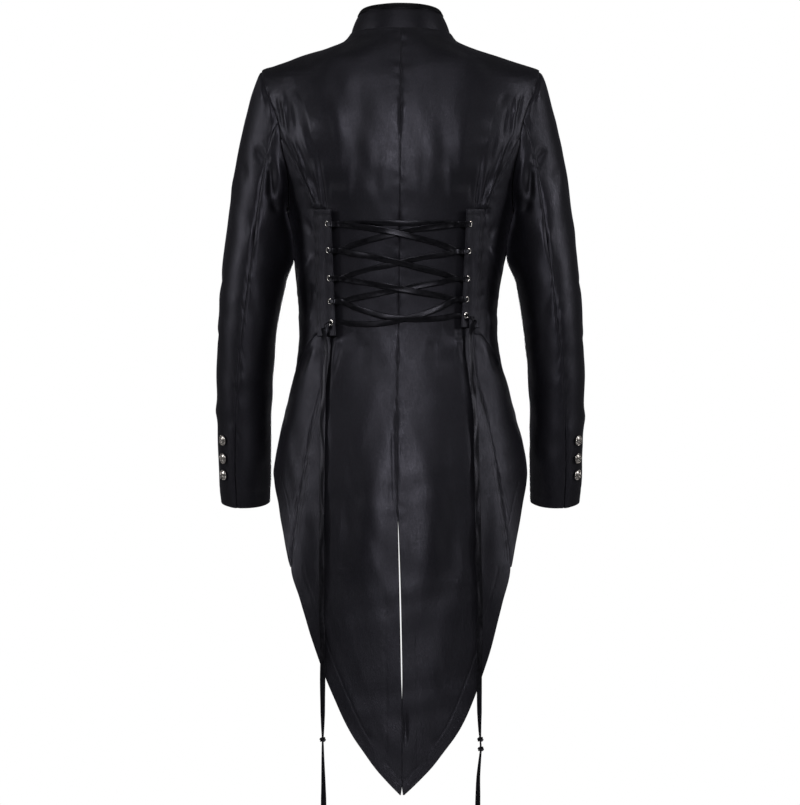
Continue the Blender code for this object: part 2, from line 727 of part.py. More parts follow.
def stand(obj, point, axis):
    """Stands a turned piece on a point, its own Z along the axis."""
    turn = axis.to_track_quat("Z", "Y").to_matrix().to_4x4()
    obj.matrix_world = Matrix.Translation(point) @ turn


def turned(name, profile, segments, material, closed=False):
    """A profile of radius and height, spun about Z."""
    shape = bmesh.new()
    vertices = [shape.verts.new((radius, 0, height)) for radius, height in profile]
    edges = [shape.edges.new(pair) for pair in zip(vertices, vertices[1:])]
    if closed:
        edges.append(shape.edges.new((vertices[-1], vertices[0])))
    bmesh.ops.spin(
        shape, geom=vertices + edges, cent=(0, 0, 0), axis=(0, 0, 1), angle=2 * math.pi,
        steps=segments, use_merge=True, use_duplicate=False,
    )
    bmesh.ops.remove_doubles(shape, verts=shape.verts, dist=1e-6)
    return new_object(name, shape, material)


def make_eyelets(name, side):
    base, top = EYELET_GAP, EYELET_GAP + EYELET_RISE
    foot = -STRAP_THICKNESS - EYELET_GAP
    profile = (
        (EYELET_BORE, top),
        (EYELET_FLANGE - EYELET_RISE / 2, top),
        (EYELET_FLANGE, base),
        (EYELET_BARREL, base),
        (EYELET_BARREL, foot),
        (EYELET_BORE, foot),
    )
    for number in range(len(EYELET_LEVELS[name])):
        centre, axis, _ = eyelet_frame(name, side, number)
        eyelet = turned(f"eyelet_{name}_{number + 1}", profile, EYELET_SEGMENTS, silver, closed=True)
        stand(eyelet, centre, axis)


def make_button(name, point, axis):
    profile = (
        (0, BUTTON_HEIGHT),
        (BUTTON_RADIUS * 0.55, BUTTON_HEIGHT * 0.86),
        (BUTTON_RADIUS * 0.9, BUTTON_HEIGHT * 0.42),
        (BUTTON_RADIUS, 0),
        (BUTTON_SHANK, 0),
        (BUTTON_SHANK, -BUTTON_LIFT),
        (0, -BUTTON_LIFT),
    )
    button = turned(name, profile, BUTTON_SEGMENTS, silver)
    stand(button, point + axis * (BUTTON_LIFT + BUTTON_GAP), axis)


def make_buttons():
    for number, level in enumerate(FRONT_BUTTON_LEVELS, 1):
        point = on_form(math.pi, level, -1, CLOTH + SEAM_GAP)
        make_button(f"front_button_{number}", point, form_normal(math.pi, level, -1))
    for name, side in SIDES:
        for number, z in enumerate(CUFF_BUTTON_LEVELS, 1):
            turn = CUFF_BUTTON_TURN - math.radians(sleeve_section("twist", z))
            point = tube_point(turn, z, side)
            around = tube_point(turn + 0.01, z, side) - tube_point(turn - 0.01, z, side)
            down = tube_point(turn, z - 0.002, side) - tube_point(turn, z + 0.002, side)
            axis = around.cross(down).normalized() * -side
            make_button(f"cuff_button_{name}_{number}", point, axis)


def ribbon(name, stations):
    """A flat ribbon lofted through stations, each a middle, a width and the way of its width."""
    shape = bmesh.new()
    middles = [station[0] for station in stations]
    rings = []
    for k, (middle, width, across) in enumerate(stations):
        along = middles[min(k + 1, len(middles) - 1)] - middles[max(k - 1, 0)]
        across = (across - along * across.dot(along) / along.length_squared).normalized()
        thick = along.cross(across).normalized() * (LACE_THICKNESS / 2)
        half = across * (width / 2)
        upper, lower = middle + half, middle - half
        corners = (upper + thick, lower + thick, lower - thick, upper - thick)
        rings.append([shape.verts.new(corner) for corner in corners])
    for ring, following in zip(rings, rings[1:]):
        for k in range(4):
            shape.faces.new((ring[k - 1], ring[k], following[k], following[k - 1]))
    shape.faces.new(rings[0])
    shape.faces.new(rings[-1][::-1])
    return new_object(name, shape, satin)


def through_eyelet(name, side, number):
    """Stations from under the strap's free edge, up through the eyelet's hole, to its front."""
    centre, axis, to_edge = eyelet_frame(name, side, number)
    up = Vector((0, 0, 1))
    face = EYELET_GAP + EYELET_RISE
    stations = []
    for place in LACE_HOLE:
        away, height, width = place
        middle = centre + to_edge * away + axis * (height + (face if height > 0 else -STRAP_THICKNESS))
        stations.append((middle, width, up))
    return stations


def span_stations(start, end, rise, over, first):
    """Stations of a strand across the back, from over one strap's edge to under the other's."""
    (from_name, from_side, from_number), (to_name, to_side, to_number) = start, end
    z_start = eyelet_frame(from_name, from_side, from_number)[0].z
    z_end = eyelet_frame(to_name, to_side, to_number)[0].z
    x_start = from_side * (edge_x(from_name, from_number) - LACE_DEPART)
    x_end = to_side * (edge_x(to_name, to_number) - LACE_ARRIVE)
    clear = LACE_CLEAR_FIRST if first else LACE_CLEAR
    stations = []
    for s in LACE_SHARES:
        x = mix(x_start, x_end, s)
        z = mix(z_start, z_end, s) + rise * 4 * s * (1 - s)
        lift = LACE_LOW + (LACE_HIGH - LACE_LOW) * (1 - ease(s, clear, clear + 0.12))
        if over:
            crossing = LACE_HIGH * ease(s, 0.28, 0.38) * (1 - ease(s, 0.62, 0.72))
            lift = max(lift, crossing)
        slope = (z_end - z_start + rise * 4 * (1 - 2 * s)) / (x_end - x_start)
        stations.append(over_back(x, z, lift, LACE_WIDTH, Vector((-slope, 0, 1))))
    return stations


def edge_x(name, number):
    run = (EYELET_LEVELS[name][number] - STRAP_TOP) / (STRAPS[name]["foot"] - STRAP_TOP)
    return strap_place(name, 1, run)[0]


def over_back(x, z, lift, width, across):
    """A station over the back at a given x and height, its width laid along the cloth."""
    side = 1 if x >= form("sway", z) else -1
    angle = angle_at(x, z, side)
    normal = form_normal(angle, z, side)
    return on_form(angle, z, side, lift), width, across - normal * across.dot(normal)


def strand(first_side):
    """One half of the lace: from the middle of the back down to its last eyelet."""
    names = dict((side, name) for name, side in SIDES)
    side = first_side
    z_top = eyelet_frame(names[side], side, 0)[0].z
    x_end = side * (edge_x(names[side], 0) - LACE_ARRIVE)
    stations = []
    for s in LACE_TOP_SHARES:
        stations.append(over_back(x_end * s, z_top, LACE_LOW, LACE_WIDTH, Vector((0, 0, 1))))
    for number, rise in enumerate(LACE_RISES):
        start = (names[side], side, number)
        end = (names[-side], -side, number + 1)
        over = (number % 2 == 0) == (first_side > 0)
        stations += through_eyelet(*start)
        stations += span_stations(start, end, rise, over, number == 0)
        side = -side
    stations += through_eyelet(names[side], side, len(LACE_RISES))[:LACE_HOLE_OUT]
    return stations


def make_lace():
    """One lace, held in the eyelets, with a free end on each side."""
    left, right = strand(1), strand(-1)
    ribbon("lace", [*left[::-1], *right[1:]])
    for name, side in SIDES:
        stations = end_stations(name, side)
        ribbon(f"lace_end_{name}", stations)
        for number, z in enumerate(LACE_KNOTS[name], 1):
            nearest = min(stations, key=lambda station: abs(station[0].z - z))
            make_knot(f"lace_knot_{name}_{number}", nearest[0])


def end_stations(name, side):
    """A free end leaves the last eyelet, turns over the strap's foot and hangs down."""
    centre, axis, to_edge = eyelet_frame(name, side, len(LACE_RISES))
    out = EYELET_GAP + EYELET_RISE + LACE_HOLE[LACE_HOLE_OUT - 1][1] + SEAM_GAP
    stations = [
        (centre + axis * out, LACE_IN_HOLE, Vector((0, 0, 1))),
        (centre + axis * (out + 0.0015), LACE_IN_HOLE, Vector((0, 0, 1))),
    ]
    for row in LACE_ENDS[name]:
        place = dict(zip(LACE_END_COLUMNS, row))
        x = side * place["x"]
        turn = math.radians(place["turn"])
        across = Vector((math.cos(turn) * side, 0, math.sin(turn)))
        station = over_back(x, place["z"], place["lift"], place["width"], across)
        if place["z"] < TAIL_LEVELS[0]:
            station = (Vector((x, station[0].y, place["z"])), *station[1:])
        stations.append(station)
    return stations


def make_knot(name, point):
    bpy.ops.mesh.primitive_torus_add(
        location=point, major_segments=12, minor_segments=6,
        major_radius=KNOT_HOLE + KNOT_THICKNESS / 2, minor_radius=KNOT_THICKNESS / 2,
    )
    knot = bpy.context.object
    knot.name = name
    knot.data.name = name
    knot.data.materials.append(satin)
    for old in knot.users_collection:
        old.objects.unlink(knot)
    collection.objects.link(knot)


def make_material(name, colour, roughness, metallic=0.0):
    material = bpy.data.materials.new(name)
    material.use_nodes = True
    shader = material.node_tree.nodes["Principled BSDF"]
    shader.inputs["Base Color"].default_value = (*colour, 1)
    shader.inputs["Roughness"].default_value = roughness
    shader.inputs["Metallic"].default_value = metallic
    return material


def new_collection(name):
    made = bpy.data.collections.new(name)
    bpy.context.scene.collection.children.link(made)
    return made


def make_panels(name, side):
    wall(f"back_{name}", back_rows(side), velvet)
    wall(f"side_{name}", side_rows(side), velvet)
    wall(f"front_{name}", front_rows(side), velvet)
    wall(f"skirt_{name}", skirt_rows(side), velvet)
    rings = sleeve_rings(side)
    top = sleeve_rows(rings, INNER_SEAM - 2 * ARMHOLE_STEPS, ELBOW_SEAM)
    under = sleeve_rows(rings, ELBOW_SEAM, INNER_SEAM)
    wall(f"sleeve_top_{name}", top, velvet)
    wall(f"sleeve_under_{name}", under, velvet)


def make_collar():
    wall("collar", collar_rows(0, 1, COLLAR_ROWS), velvet, seams=False)
    low = 1 - BINDING_HEIGHT / COLLAR_HEIGHT["back"]
    lift = BINDING_THICKNESS + SEAM_GAP
    wall("collar_binding", collar_rows(low, 1, 1, lift, BINDING_THICKNESS), satin, seams=False)


for old in list(bpy.data.objects):
    bpy.data.objects.remove(old)
collection = new_collection("victorian_tailcoat")
cutters = new_collection("cutters")
velvet = make_material("black_velvet", (0.012, 0.012, 0.015), 0.75)
satin = make_material("black_satin", (0.010, 0.010, 0.012), 0.35)
silver = make_material("silver_metal", (0.72, 0.68, 0.66), 0.25, 1.0)
for side_name, side_sign in SIDES:
    make_panels(side_name, side_sign)
    make_strap(side_name, side_sign)
    make_eyelets(side_name, side_sign)
make_collar()
make_buttons()
make_lace()
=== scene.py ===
"""The looks of a Victorian velvet tailcoat, laced across its back, worn and hollow.

Metres, +Z up. The coat's back faces +Y and its front -Y, so the wearer's left is +X.
The tables of the body form, the seams, the sleeves, the straps and the lacing are those
of the solids. Only the vent's gap is drawn narrower, and the tips of the tails lie a
little further apart. A "level" is a height on the form: it is z on the back, and the
front of the upper levels drops towards the throat.
"""

import math

import bpy
import numpy as np
from mathutils import Matrix, Vector


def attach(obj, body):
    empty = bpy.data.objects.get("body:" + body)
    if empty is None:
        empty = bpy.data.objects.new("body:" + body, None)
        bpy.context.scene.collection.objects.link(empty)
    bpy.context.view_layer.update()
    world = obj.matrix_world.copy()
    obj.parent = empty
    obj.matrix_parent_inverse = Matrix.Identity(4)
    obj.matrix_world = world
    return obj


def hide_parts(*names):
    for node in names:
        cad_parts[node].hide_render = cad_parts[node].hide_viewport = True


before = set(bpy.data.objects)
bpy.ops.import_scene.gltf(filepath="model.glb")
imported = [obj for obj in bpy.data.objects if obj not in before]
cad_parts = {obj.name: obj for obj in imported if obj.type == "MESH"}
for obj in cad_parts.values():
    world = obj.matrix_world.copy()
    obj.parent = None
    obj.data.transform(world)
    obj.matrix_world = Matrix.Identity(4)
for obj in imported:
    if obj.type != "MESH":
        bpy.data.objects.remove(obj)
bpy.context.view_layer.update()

# Cloth
CLOTH = 0.0018
SEAM_GAP = 0.0004
SIDES = (("left", 1), ("right", -1))
UP = np.array((0, 0, 1.0))

# The body form: one row for each level, all in metres.
FORM_COLUMNS = ("level", "half_width", "back", "front", "sway")
FORM = (
    (0.000, 0.0700, 0.0680, 0.0640, 0.0000),
    (-0.012, 0.0800, 0.0740, 0.0720, 0.0000),
    (-0.024, 0.1080, 0.0790, 0.0790, 0.0000),
    (-0.036, 0.1460, 0.0840, 0.0850, 0.0000),
    (-0.046, 0.1750, 0.0880, 0.0890, 0.0000),
    (-0.053, 0.1940, 0.0910, 0.0920, 0.0000),
    (-0.094, 0.2090, 0.1060, 0.1060, 0.0000),
    (-0.120, 0.2050, 0.1130, 0.1140, 0.0000),
    (-0.161, 0.2000, 0.1190, 0.1240, 0.0000),
    (-0.192, 0.1850, 0.1200, 0.1300, 0.0000),
    (-0.225, 0.1680, 0.1170, 0.1340, 0.0000),
    (-0.250, 0.1580, 0.1120, 0.1350, 0.0000),
    (-0.300, 0.1485, 0.1010, 0.1280, 0.0010),
    (-0.351, 0.1430, 0.0910, 0.1150, 0.0030),
    (-0.393, 0.1390, 0.0850, 0.1060, 0.0035),
    (-0.414, 0.1390, 0.0840, 0.1040, 0.0033),
    (-0.456, 0.1425, 0.0890, 0.1060, 0.0020),
    (-0.498, 0.1526, 0.1000, 0.1100, 0.0010),
    (-0.540, 0.1630, 0.1120, 0.1150, 0.0005),
    (-0.582, 0.1736, 0.1230, 0.1200, 0.0000),
    (-0.624, 0.1800, 0.1300, 0.1240, 0.0000),
    (-0.700, 0.1960, 0.1350, 0.1260, 0.0000),
    (-0.800, 0.2200, 0.1360, 0.1260, -0.0020),
    (-0.880, 0.2360, 0.1350, 0.1260, -0.0040),
    (-0.940, 0.2480, 0.1340, 0.1260, -0.0052),
    (-1.000, 0.2600, 0.1335, 0.1260, -0.0040),
    (-1.050, 0.2700, 0.1330, 0.1260, -0.0020),
)

# The turn over the shoulders is an average of levels a step apart, by these weights.
SOFT_SHOULDER = {
    "from": 0.034, "fades": (0.120, 0.190), "step": 0.0085, "weights": (1, 2, 3, 3, 3, 2, 1),
}

# How far the front of a level hangs below its back.
THROAT_COLUMNS = ("level", "drop")
THROAT = ((0.000, 0.055), (-0.053, 0.044), (-0.150, 0.018), (-0.250, 0.000), (-0.300, 0.000))
BUST = {"x": 0.082, "z": -0.262, "height": 0.011, "radius": 0.058, "bridge": 0.030}

# The armhole is an ellipse on the form, from the shoulder tip down to the armpit.
ARMHOLE_TOP = -0.053
ARMHOLE_FOOT = -0.250
ARMHOLE_BACK = math.radians(35)
ARMHOLE_FRONT = math.radians(39)
SIDE = math.radians(90)

# Seams on the back, as x against the level.
CENTRE_COLUMNS = ("level", "x", "half_gap")
CENTRE_BACK = (
    (0.000, -0.0010, 0.0002),
    (-0.250, 0.0010, 0.0002),
    (-0.420, 0.0030, 0.0002),
    (-0.557, 0.0058, 0.0002),
    (-0.660, 0.0038, 0.0002),
    (-0.700, 0.0026, 0.0010),
    (-0.785, 0.0003, 0.0015),
    (-0.880, -0.0015, 0.0014),
    (-0.925, -0.0020, 0.0003),
    (-1.0330, -0.0019, 0.0003),
    (-1.0455, -0.0018, 0.0022),
)
# The half gap is drawn as a share of the table's, less a little. Above the levels of
# CENTRE_CLOSED the two sides are sewn together.
CENTRE_DRAWN = {"share": 0.75, "closer": 0.0003}
CENTRE_CLOSED = (-0.700, -0.655)
BACK_EDGE_COLUMNS = ("level", "x")
BACK_EDGE = (
    (-0.1515, 0.1640),
    (-0.212, 0.1355),
    (-0.250, 0.1190),
    (-0.290, 0.1122),
    (-0.330, 0.1112),
    (-0.387, 0.1100),
    (-0.404, 0.1085),
    (-0.4213, 0.1045),
    (-0.455, 0.1050),
    (-0.490, 0.1088),
    (-0.530, 0.1185),
    (-0.575, 0.1275),
    (-0.620, 0.1350),
    (-0.670, 0.1425),
    (-0.740, 0.1500),
    (-0.786, 0.1380),
    (-0.826, 0.1267),
    (-0.866, 0.1142),
    (-0.907, 0.0986),
    (-0.948, 0.0805),
    (-0.968, 0.0690),
    (-0.988, 0.0544),
    (-1.009, 0.0385),
    (-1.029, 0.0200),
    (-1.0455, 0.0030),
)
TAIL_CORNER = -0.740
TAIL_TIP = -1.0455

# The waist seam runs from the strap's foot down over the side to the front's point.
WAIST_COLUMNS = ("angle", "z")
WAIST_SEAM = (
    (40, -0.4213),
    (52, -0.4213),
    (62, -0.432),
    (72, -0.450),
    (82, -0.466),
    (90, -0.4746),
    (105, -0.482),
    (125, -0.489),
    (150, -0.500),
    (180, -0.520),
    (190, -0.523),
)
WAIST_START = -0.370
WAIST_INNER = -0.4213

# The skirt's side, row by row: its seam to the tail, and its cut-away edge.
SKIRT_COLUMNS = ("row", "seam_level", "edge_angle", "edge_level")
SKIRT = (
    (0, -0.4213, 125.0, -0.489),
    (1, -0.455, 114.0, -0.530),
    (2, -0.490, 102.0, -0.571),
    (3, -0.530, 90.0, -0.605),
    (4, -0.575, 77.0, -0.626),
    (5, -0.620, 67.0, -0.650),
    (6, -0.670, 57.5, -0.688),
    (7, -0.740, 47.3, -0.7405),
)
SKIRT_LAST_ROW = 7
SKIRT_BLEND = 1.6

# Pleats that fan up from the strap: x and level at the foot and at the top.
PLEAT_COLUMNS = ("foot_x", "foot_level", "top_x", "top_level", "height", "foot_half", "top_half")
PLEATS = (
    (0.1150, -0.249, 0.1480, -0.145, 0.0042, 0.0042, 0.0100),
    (0.1068, -0.249, 0.1280, -0.128, 0.0045, 0.0040, 0.0110),
    (0.0830, -0.430, 0.1040, -0.560, 0.0050, 0.0055, 0.0120),
)
PLEAT_FADE = 1.3

# Front lap and closing
LAP = 0.012
LAP_START = math.radians(160)
LAP_FULL = math.radians(173)
FRONT_BUTTON_LEVELS = (-0.070, -0.140, -0.210, -0.280, -0.350, -0.420)

# Collar
COLLAR_HEIGHT = {"back": 0.0350, "front": 0.0265}
COLLAR_TOP = {"half_width": 0.0560, "back": 0.0530, "front": 0.0600, "forward": 0.004}
COLLAR_BELLY = 0.0015
COLLAR_SEAM_IN = 0.0030
COLLAR_OPENING = math.radians(1.5)
COLLAR_GROOVE = {"below": 0.0012, "depth": 0.0004, "half": 0.0008}
COLLAR_WOBBLE = {"height": 0.00030, "half": 0.008, "phase": 0.7}
COLLAR_UNEVEN = 0.5
BINDING_HEIGHT = 0.006
BINDING_THICKNESS = 0.0008
BINDING_BEND = {"from": 0.985, "corner": 1.012, "top": 1.018, "rows": 8, "uneven": 0.3}
BINDING_LOOSE = 0.0003

# Sleeves: tube sections below the cap.
SLEEVE_COLUMNS = ("z", "centre_x", "centre_y", "half_x", "half_y", "tilt", "twist")
SLEEVE = (
    (-0.300, 0.1995, 0.000, 0.0462, 0.0610, 0.00, 8),
    (-0.351, 0.2065, 0.001, 0.0455, 0.0585, 0.00, 8),
    (-0.400, 0.2126, 0.001, 0.0425, 0.0550, 0.03, 7),
    (-0.450, 0.2168, -0.004, 0.0409, 0.0520, 0.08, 4),
    (-0.500, 0.2190, -0.012, 0.0393, 0.0495, 0.12, 0),
    (-0.550, 0.2197, -0.022, 0.0380, 0.0475, 0.16, -4),
    (-0.605, 0.2197, -0.034, 0.0375, 0.0460, 0.19, -6),
    (-0.656, 0.2191, -0.046, 0.0348, 0.0435, 0.20, -6),
)
# Under the arm the sleeve rests on the side: how far below the collar's foot, and how close.
PIT_REST = {"starts": (0.2498, 0.2525), "ends": (0.300, 0.350), "clear": 0.0004}
# The cap: where its head stops facing as the shoulder does, and how it leaves and arrives.
CAP_FIRST_RING = 0.09
CAP_LEAVE = {"tip": (0.060, 0.0, -0.058), "pit": (0.030, 0.0, -0.046)}
CAP_ARRIVE = {"tip": (0.025, 0.0, -0.240), "pit": (0.010, 0.0, -0.055)}
ELBOW_SEAM = math.radians(78)
INNER_SEAM = math.radians(234)
CUFF_BUTTON_TURN = math.radians(44)
CUFF_BUTTON_LEVELS = (-0.563, -0.588, -0.611)
CUFF_VENT_TOP = -0.549
CUFF_VENT_LAP = {"width": 0.0150, "height": 0.0011}

# Button: a domed metal shell on a short shank.
BUTTON_RADIUS = 0.0074
BUTTON_LIFT = 0.0012
BUTTON_GAP = 0.0003

# Lacing straps, eyelets and lace
STRAP_THICKNESS = 0.0016
STRAP_CLEAR = 0.0007
STRAP_LIFT = 0.0045
STRAP_SEWN = 0.35
STRAP_TOP = -0.2515
STRAPS = {
    "left": {"foot": -0.4250, "edge": (0.0918, 0.0862), "sewn": (0.1184, 0.1140)},
    "right": {"foot": -0.4130, "edge": (0.0872, 0.0806), "sewn": (0.1140, 0.1085)},
}
EYELET_LEVELS = {
    "left": (-0.2710, -0.3070, -0.3450, -0.3765, -0.4060),
    "right": (-0.2710, -0.3078, -0.3452, -0.3735, -0.3960),
}
EYELET_INSET = 0.0062
EYELET_HOLE = 0.0031
HOLE_CUTTER = {"vertices": 24, "radius": EYELET_HOLE - 0.0002, "depth": 0.0060}
EYELET_RISE = 0.0008
EYELET_GAP = 0.0003
LACE_WIDTH = 0.0070
LACE_SPREAD = 1.12
LACE_THICKNESS = 0.0008
LACE_IN_HOLE = 0.0032
LACE_LOW = 0.0014
LACE_HIGH = 0.0030
LACE_CLEAR = 0.10
LACE_CLEAR_FIRST = 0.24
LACE_DEPART = 0.006
LACE_ARRIVE = 0.003
LACE_RISES = (0.005, 0.002, 0.000, -0.014)
LACE_SHARES = (0, 0.12, 0.25, 0.37, 0.50, 0.63, 0.75, 0.88, 1.0)
LACE_TOP_SHARES = (0, 0.2, 0.4, 0.6, 0.8, 1.0)

# Through an eyelet: distance towards the strap's edge, height off its face or back, width.
LACE_HOLE = (
    (0.0040, -0.0024, 0.0050),
    (0.0012, -0.0016, 0.0036),
    (0.0000, -0.0005, 0.0032),
    (0.0000, 0.0004, 0.0032),
    (0.0012, 0.0014, 0.0040),
    (0.0042, 0.0014, 0.0058),
    (0.0085, 0.0008, 0.0070),
)
LACE_HOLE_OUT = 4
LACE_OUT_STEP = 0.0015
LACE_DROP = 0.12
LACE_CROSSING = {"rises": (0.28, 0.38), "falls": (0.62, 0.72)}

# The free ends: distance from the centre, height, lift off the cloth, width, turn of its width.
LACE_END_COLUMNS = ("x", "z", "lift", "width", "turn")
LACE_ENDS = {
    "left": (
        (0.0960, -0.4085, 0.0110, 0.0045, 100),
        (0.1010, -0.4140, 0.0095, 0.0060, 125),
        (0.1010, -0.4230, 0.0080, 0.0065, 150),
        (0.0990, -0.4340, 0.0070, 0.0055, 180),
        (0.0985, -0.4510, 0.0062, 0.0045, 180),
        (0.1005, -0.4700, 0.0058, 0.0062, 180),
        (0.1024, -0.4900, 0.0052, 0.0070, 180),
        (0.1036, -0.5200, 0.0046, 0.0070, 180),
        (0.1047, -0.5520, 0.0040, 0.0070, 180),
        (0.1050, -0.5850, 0.0032, 0.0070, 180),
        (0.1052, -0.6200, 0.0032, 0.0070, 180),
        (0.1055, -0.6550, 0.0032, 0.0070, 180),
        (0.1056, -0.6910, 0.0032, 0.0070, 180),
        (0.1056, -0.7400, 0.0032, 0.0070, 180),
        (0.1056, -0.7900, 0.0032, 0.0070, 180),
        (0.1055, -0.8400, 0.0032, 0.0070, 180),
        (0.1054, -0.8900, 0.0032, 0.0068, 180),
        (0.1053, -0.9350, 0.0032, 0.0060, 180),
        (0.1052, -0.9600, 0.0032, 0.0036, 180),
        (0.1052, -0.9715, 0.0032, 0.0022, 180),
        (0.1051, -0.9850, 0.0032, 0.0030, 180),
        (0.1048, -1.0050, 0.0032, 0.0040, 180),
        (0.1044, -1.0250, 0.0032, 0.0052, 180),
        (0.1040, -1.0500, 0.0032, 0.0066, 180),
        (0.1040, -1.0720, 0.0032, 0.0070, 180),
    ),
    "right": (
        (0.0905, -0.3985, 0.0110, 0.0045, 100),
        (0.0965, -0.4020, 0.0095, 0.0060, 125),
        (0.0950, -0.4100, 0.0082, 0.0065, 150),
        (0.0930, -0.4210, 0.0062, 0.0055, 180),
        (0.0922, -0.4380, 0.0068, 0.0050, 180),
        (0.0935, -0.4600, 0.0060, 0.0062, 180),
        (0.0956, -0.4850, 0.0054, 0.0070, 180),
        (0.0985, -0.5200, 0.0046, 0.0070, 180),
        (0.1013, -0.5520, 0.0040, 0.0070, 180),
        (0.1020, -0.5850, 0.0032, 0.0070, 180),
        (0.1026, -0.6200, 0.0032, 0.0070, 180),
        (0.1031, -0.6520, 0.0032, 0.0070, 180),
        (0.1042, -0.6910, 0.0032, 0.0070, 180),
        (0.1052, -0.7400, 0.0032, 0.0070, 180),
        (0.1067, -0.7900, 0.0032, 0.0070, 180),
        (0.1067, -0.8400, 0.0032, 0.0070, 180),
        (0.1065, -0.8900, 0.0032, 0.0066, 180),
        (0.1066, -0.9350, 0.0032, 0.0058, 180),
        (0.1072, -0.9600, 0.0032, 0.0036, 180),
        (0.1078, -0.9710, 0.0032, 0.0022, 180),
        (0.1084, -0.9840, 0.0032, 0.0022, 180),
        (0.1070, -1.0000, 0.0032, 0.0034, 180),
        (0.1052, -1.0200, 0.0032, 0.0046, 180),
        (0.1045, -1.0480, 0.0032, 0.0062, 180),
        (0.1040, -1.0720, 0.0032, 0.0070, 180),
    ),
}
LACE_KNOTS = {"left": (-0.9715,), "right": (-0.9710, -0.9840)}
LACE_HANG = -0.800

# How finely the cloth is drawn: steps in from an edge, then the even grid between. A run
# is a panel's usual length or width, with the spacing that its grid has along it.
EDGE_STEPS = (0, 0.0003, 0.0008, 0.0015, 0.0024, 0.0034, 0.0045, 0.0058, 0.0072, 0.0090)
GRID = 0.0036
FINE_GRID = 0.0017
RUNS = {
    "shoulder": (0.110, 0.0028),
    "back_plain": (0.096, 0.0034),
    "back_pleated": (0.064, FINE_GRID),
    "side_across": (0.085, 0.0030),
    "side_waist": (0.060, GRID),
    "front_across": (0.200, 0.0034),
    "front_waist": (0.110, GRID),
    "skirt_across": (0.170, 0.0032),
    "skirt_down": (0.300, GRID),
    "sleeve_cap": (0.140, 0.0034),
    "collar_around": (0.400, 0.0034),
    "collar_up": (0.036, 0.0022),
}
SLEEVE_RUN = {"radius": 0.045, "grid": 0.0034}
BACK_PLAIN_SHARE = 0.6
EDGE_ROUND = 0.0008
EDGE_LEFT = 0.30

# Seams draw the cloth in and pucker it; a hem is pressed and shows its inner edge.
SEAM_CALM = 0.0060
SEAM_DIP = {"depth": 0.0005, "half": 0.0021}
PUCKER = {"height": 0.00045, "half": 0.0085, "clear": 0.0020}
PUCKER_WAVES = ((0.0187, 0.0, 0.55), (0.0293, 1.7, 0.45), (0.1130, 0.6, 0.40))
HEM_LINE = {"from_edge": 0.0210, "depth": 0.00035, "half": 0.0016}

# Slow unevenness of the whole cloth: wave numbers along x, y, z, phase and height.
UNEVEN = (
    (61, 37, 29, 0.4, 0.00033),
    (-47, 58, 67, 2.1, 0.00028),
    (95, -71, 23, 4.4, 0.00020),
    (23, 19, 118, 1.3, 0.00022),
    (-152, 88, 71, 3.0, 0.00014),
)

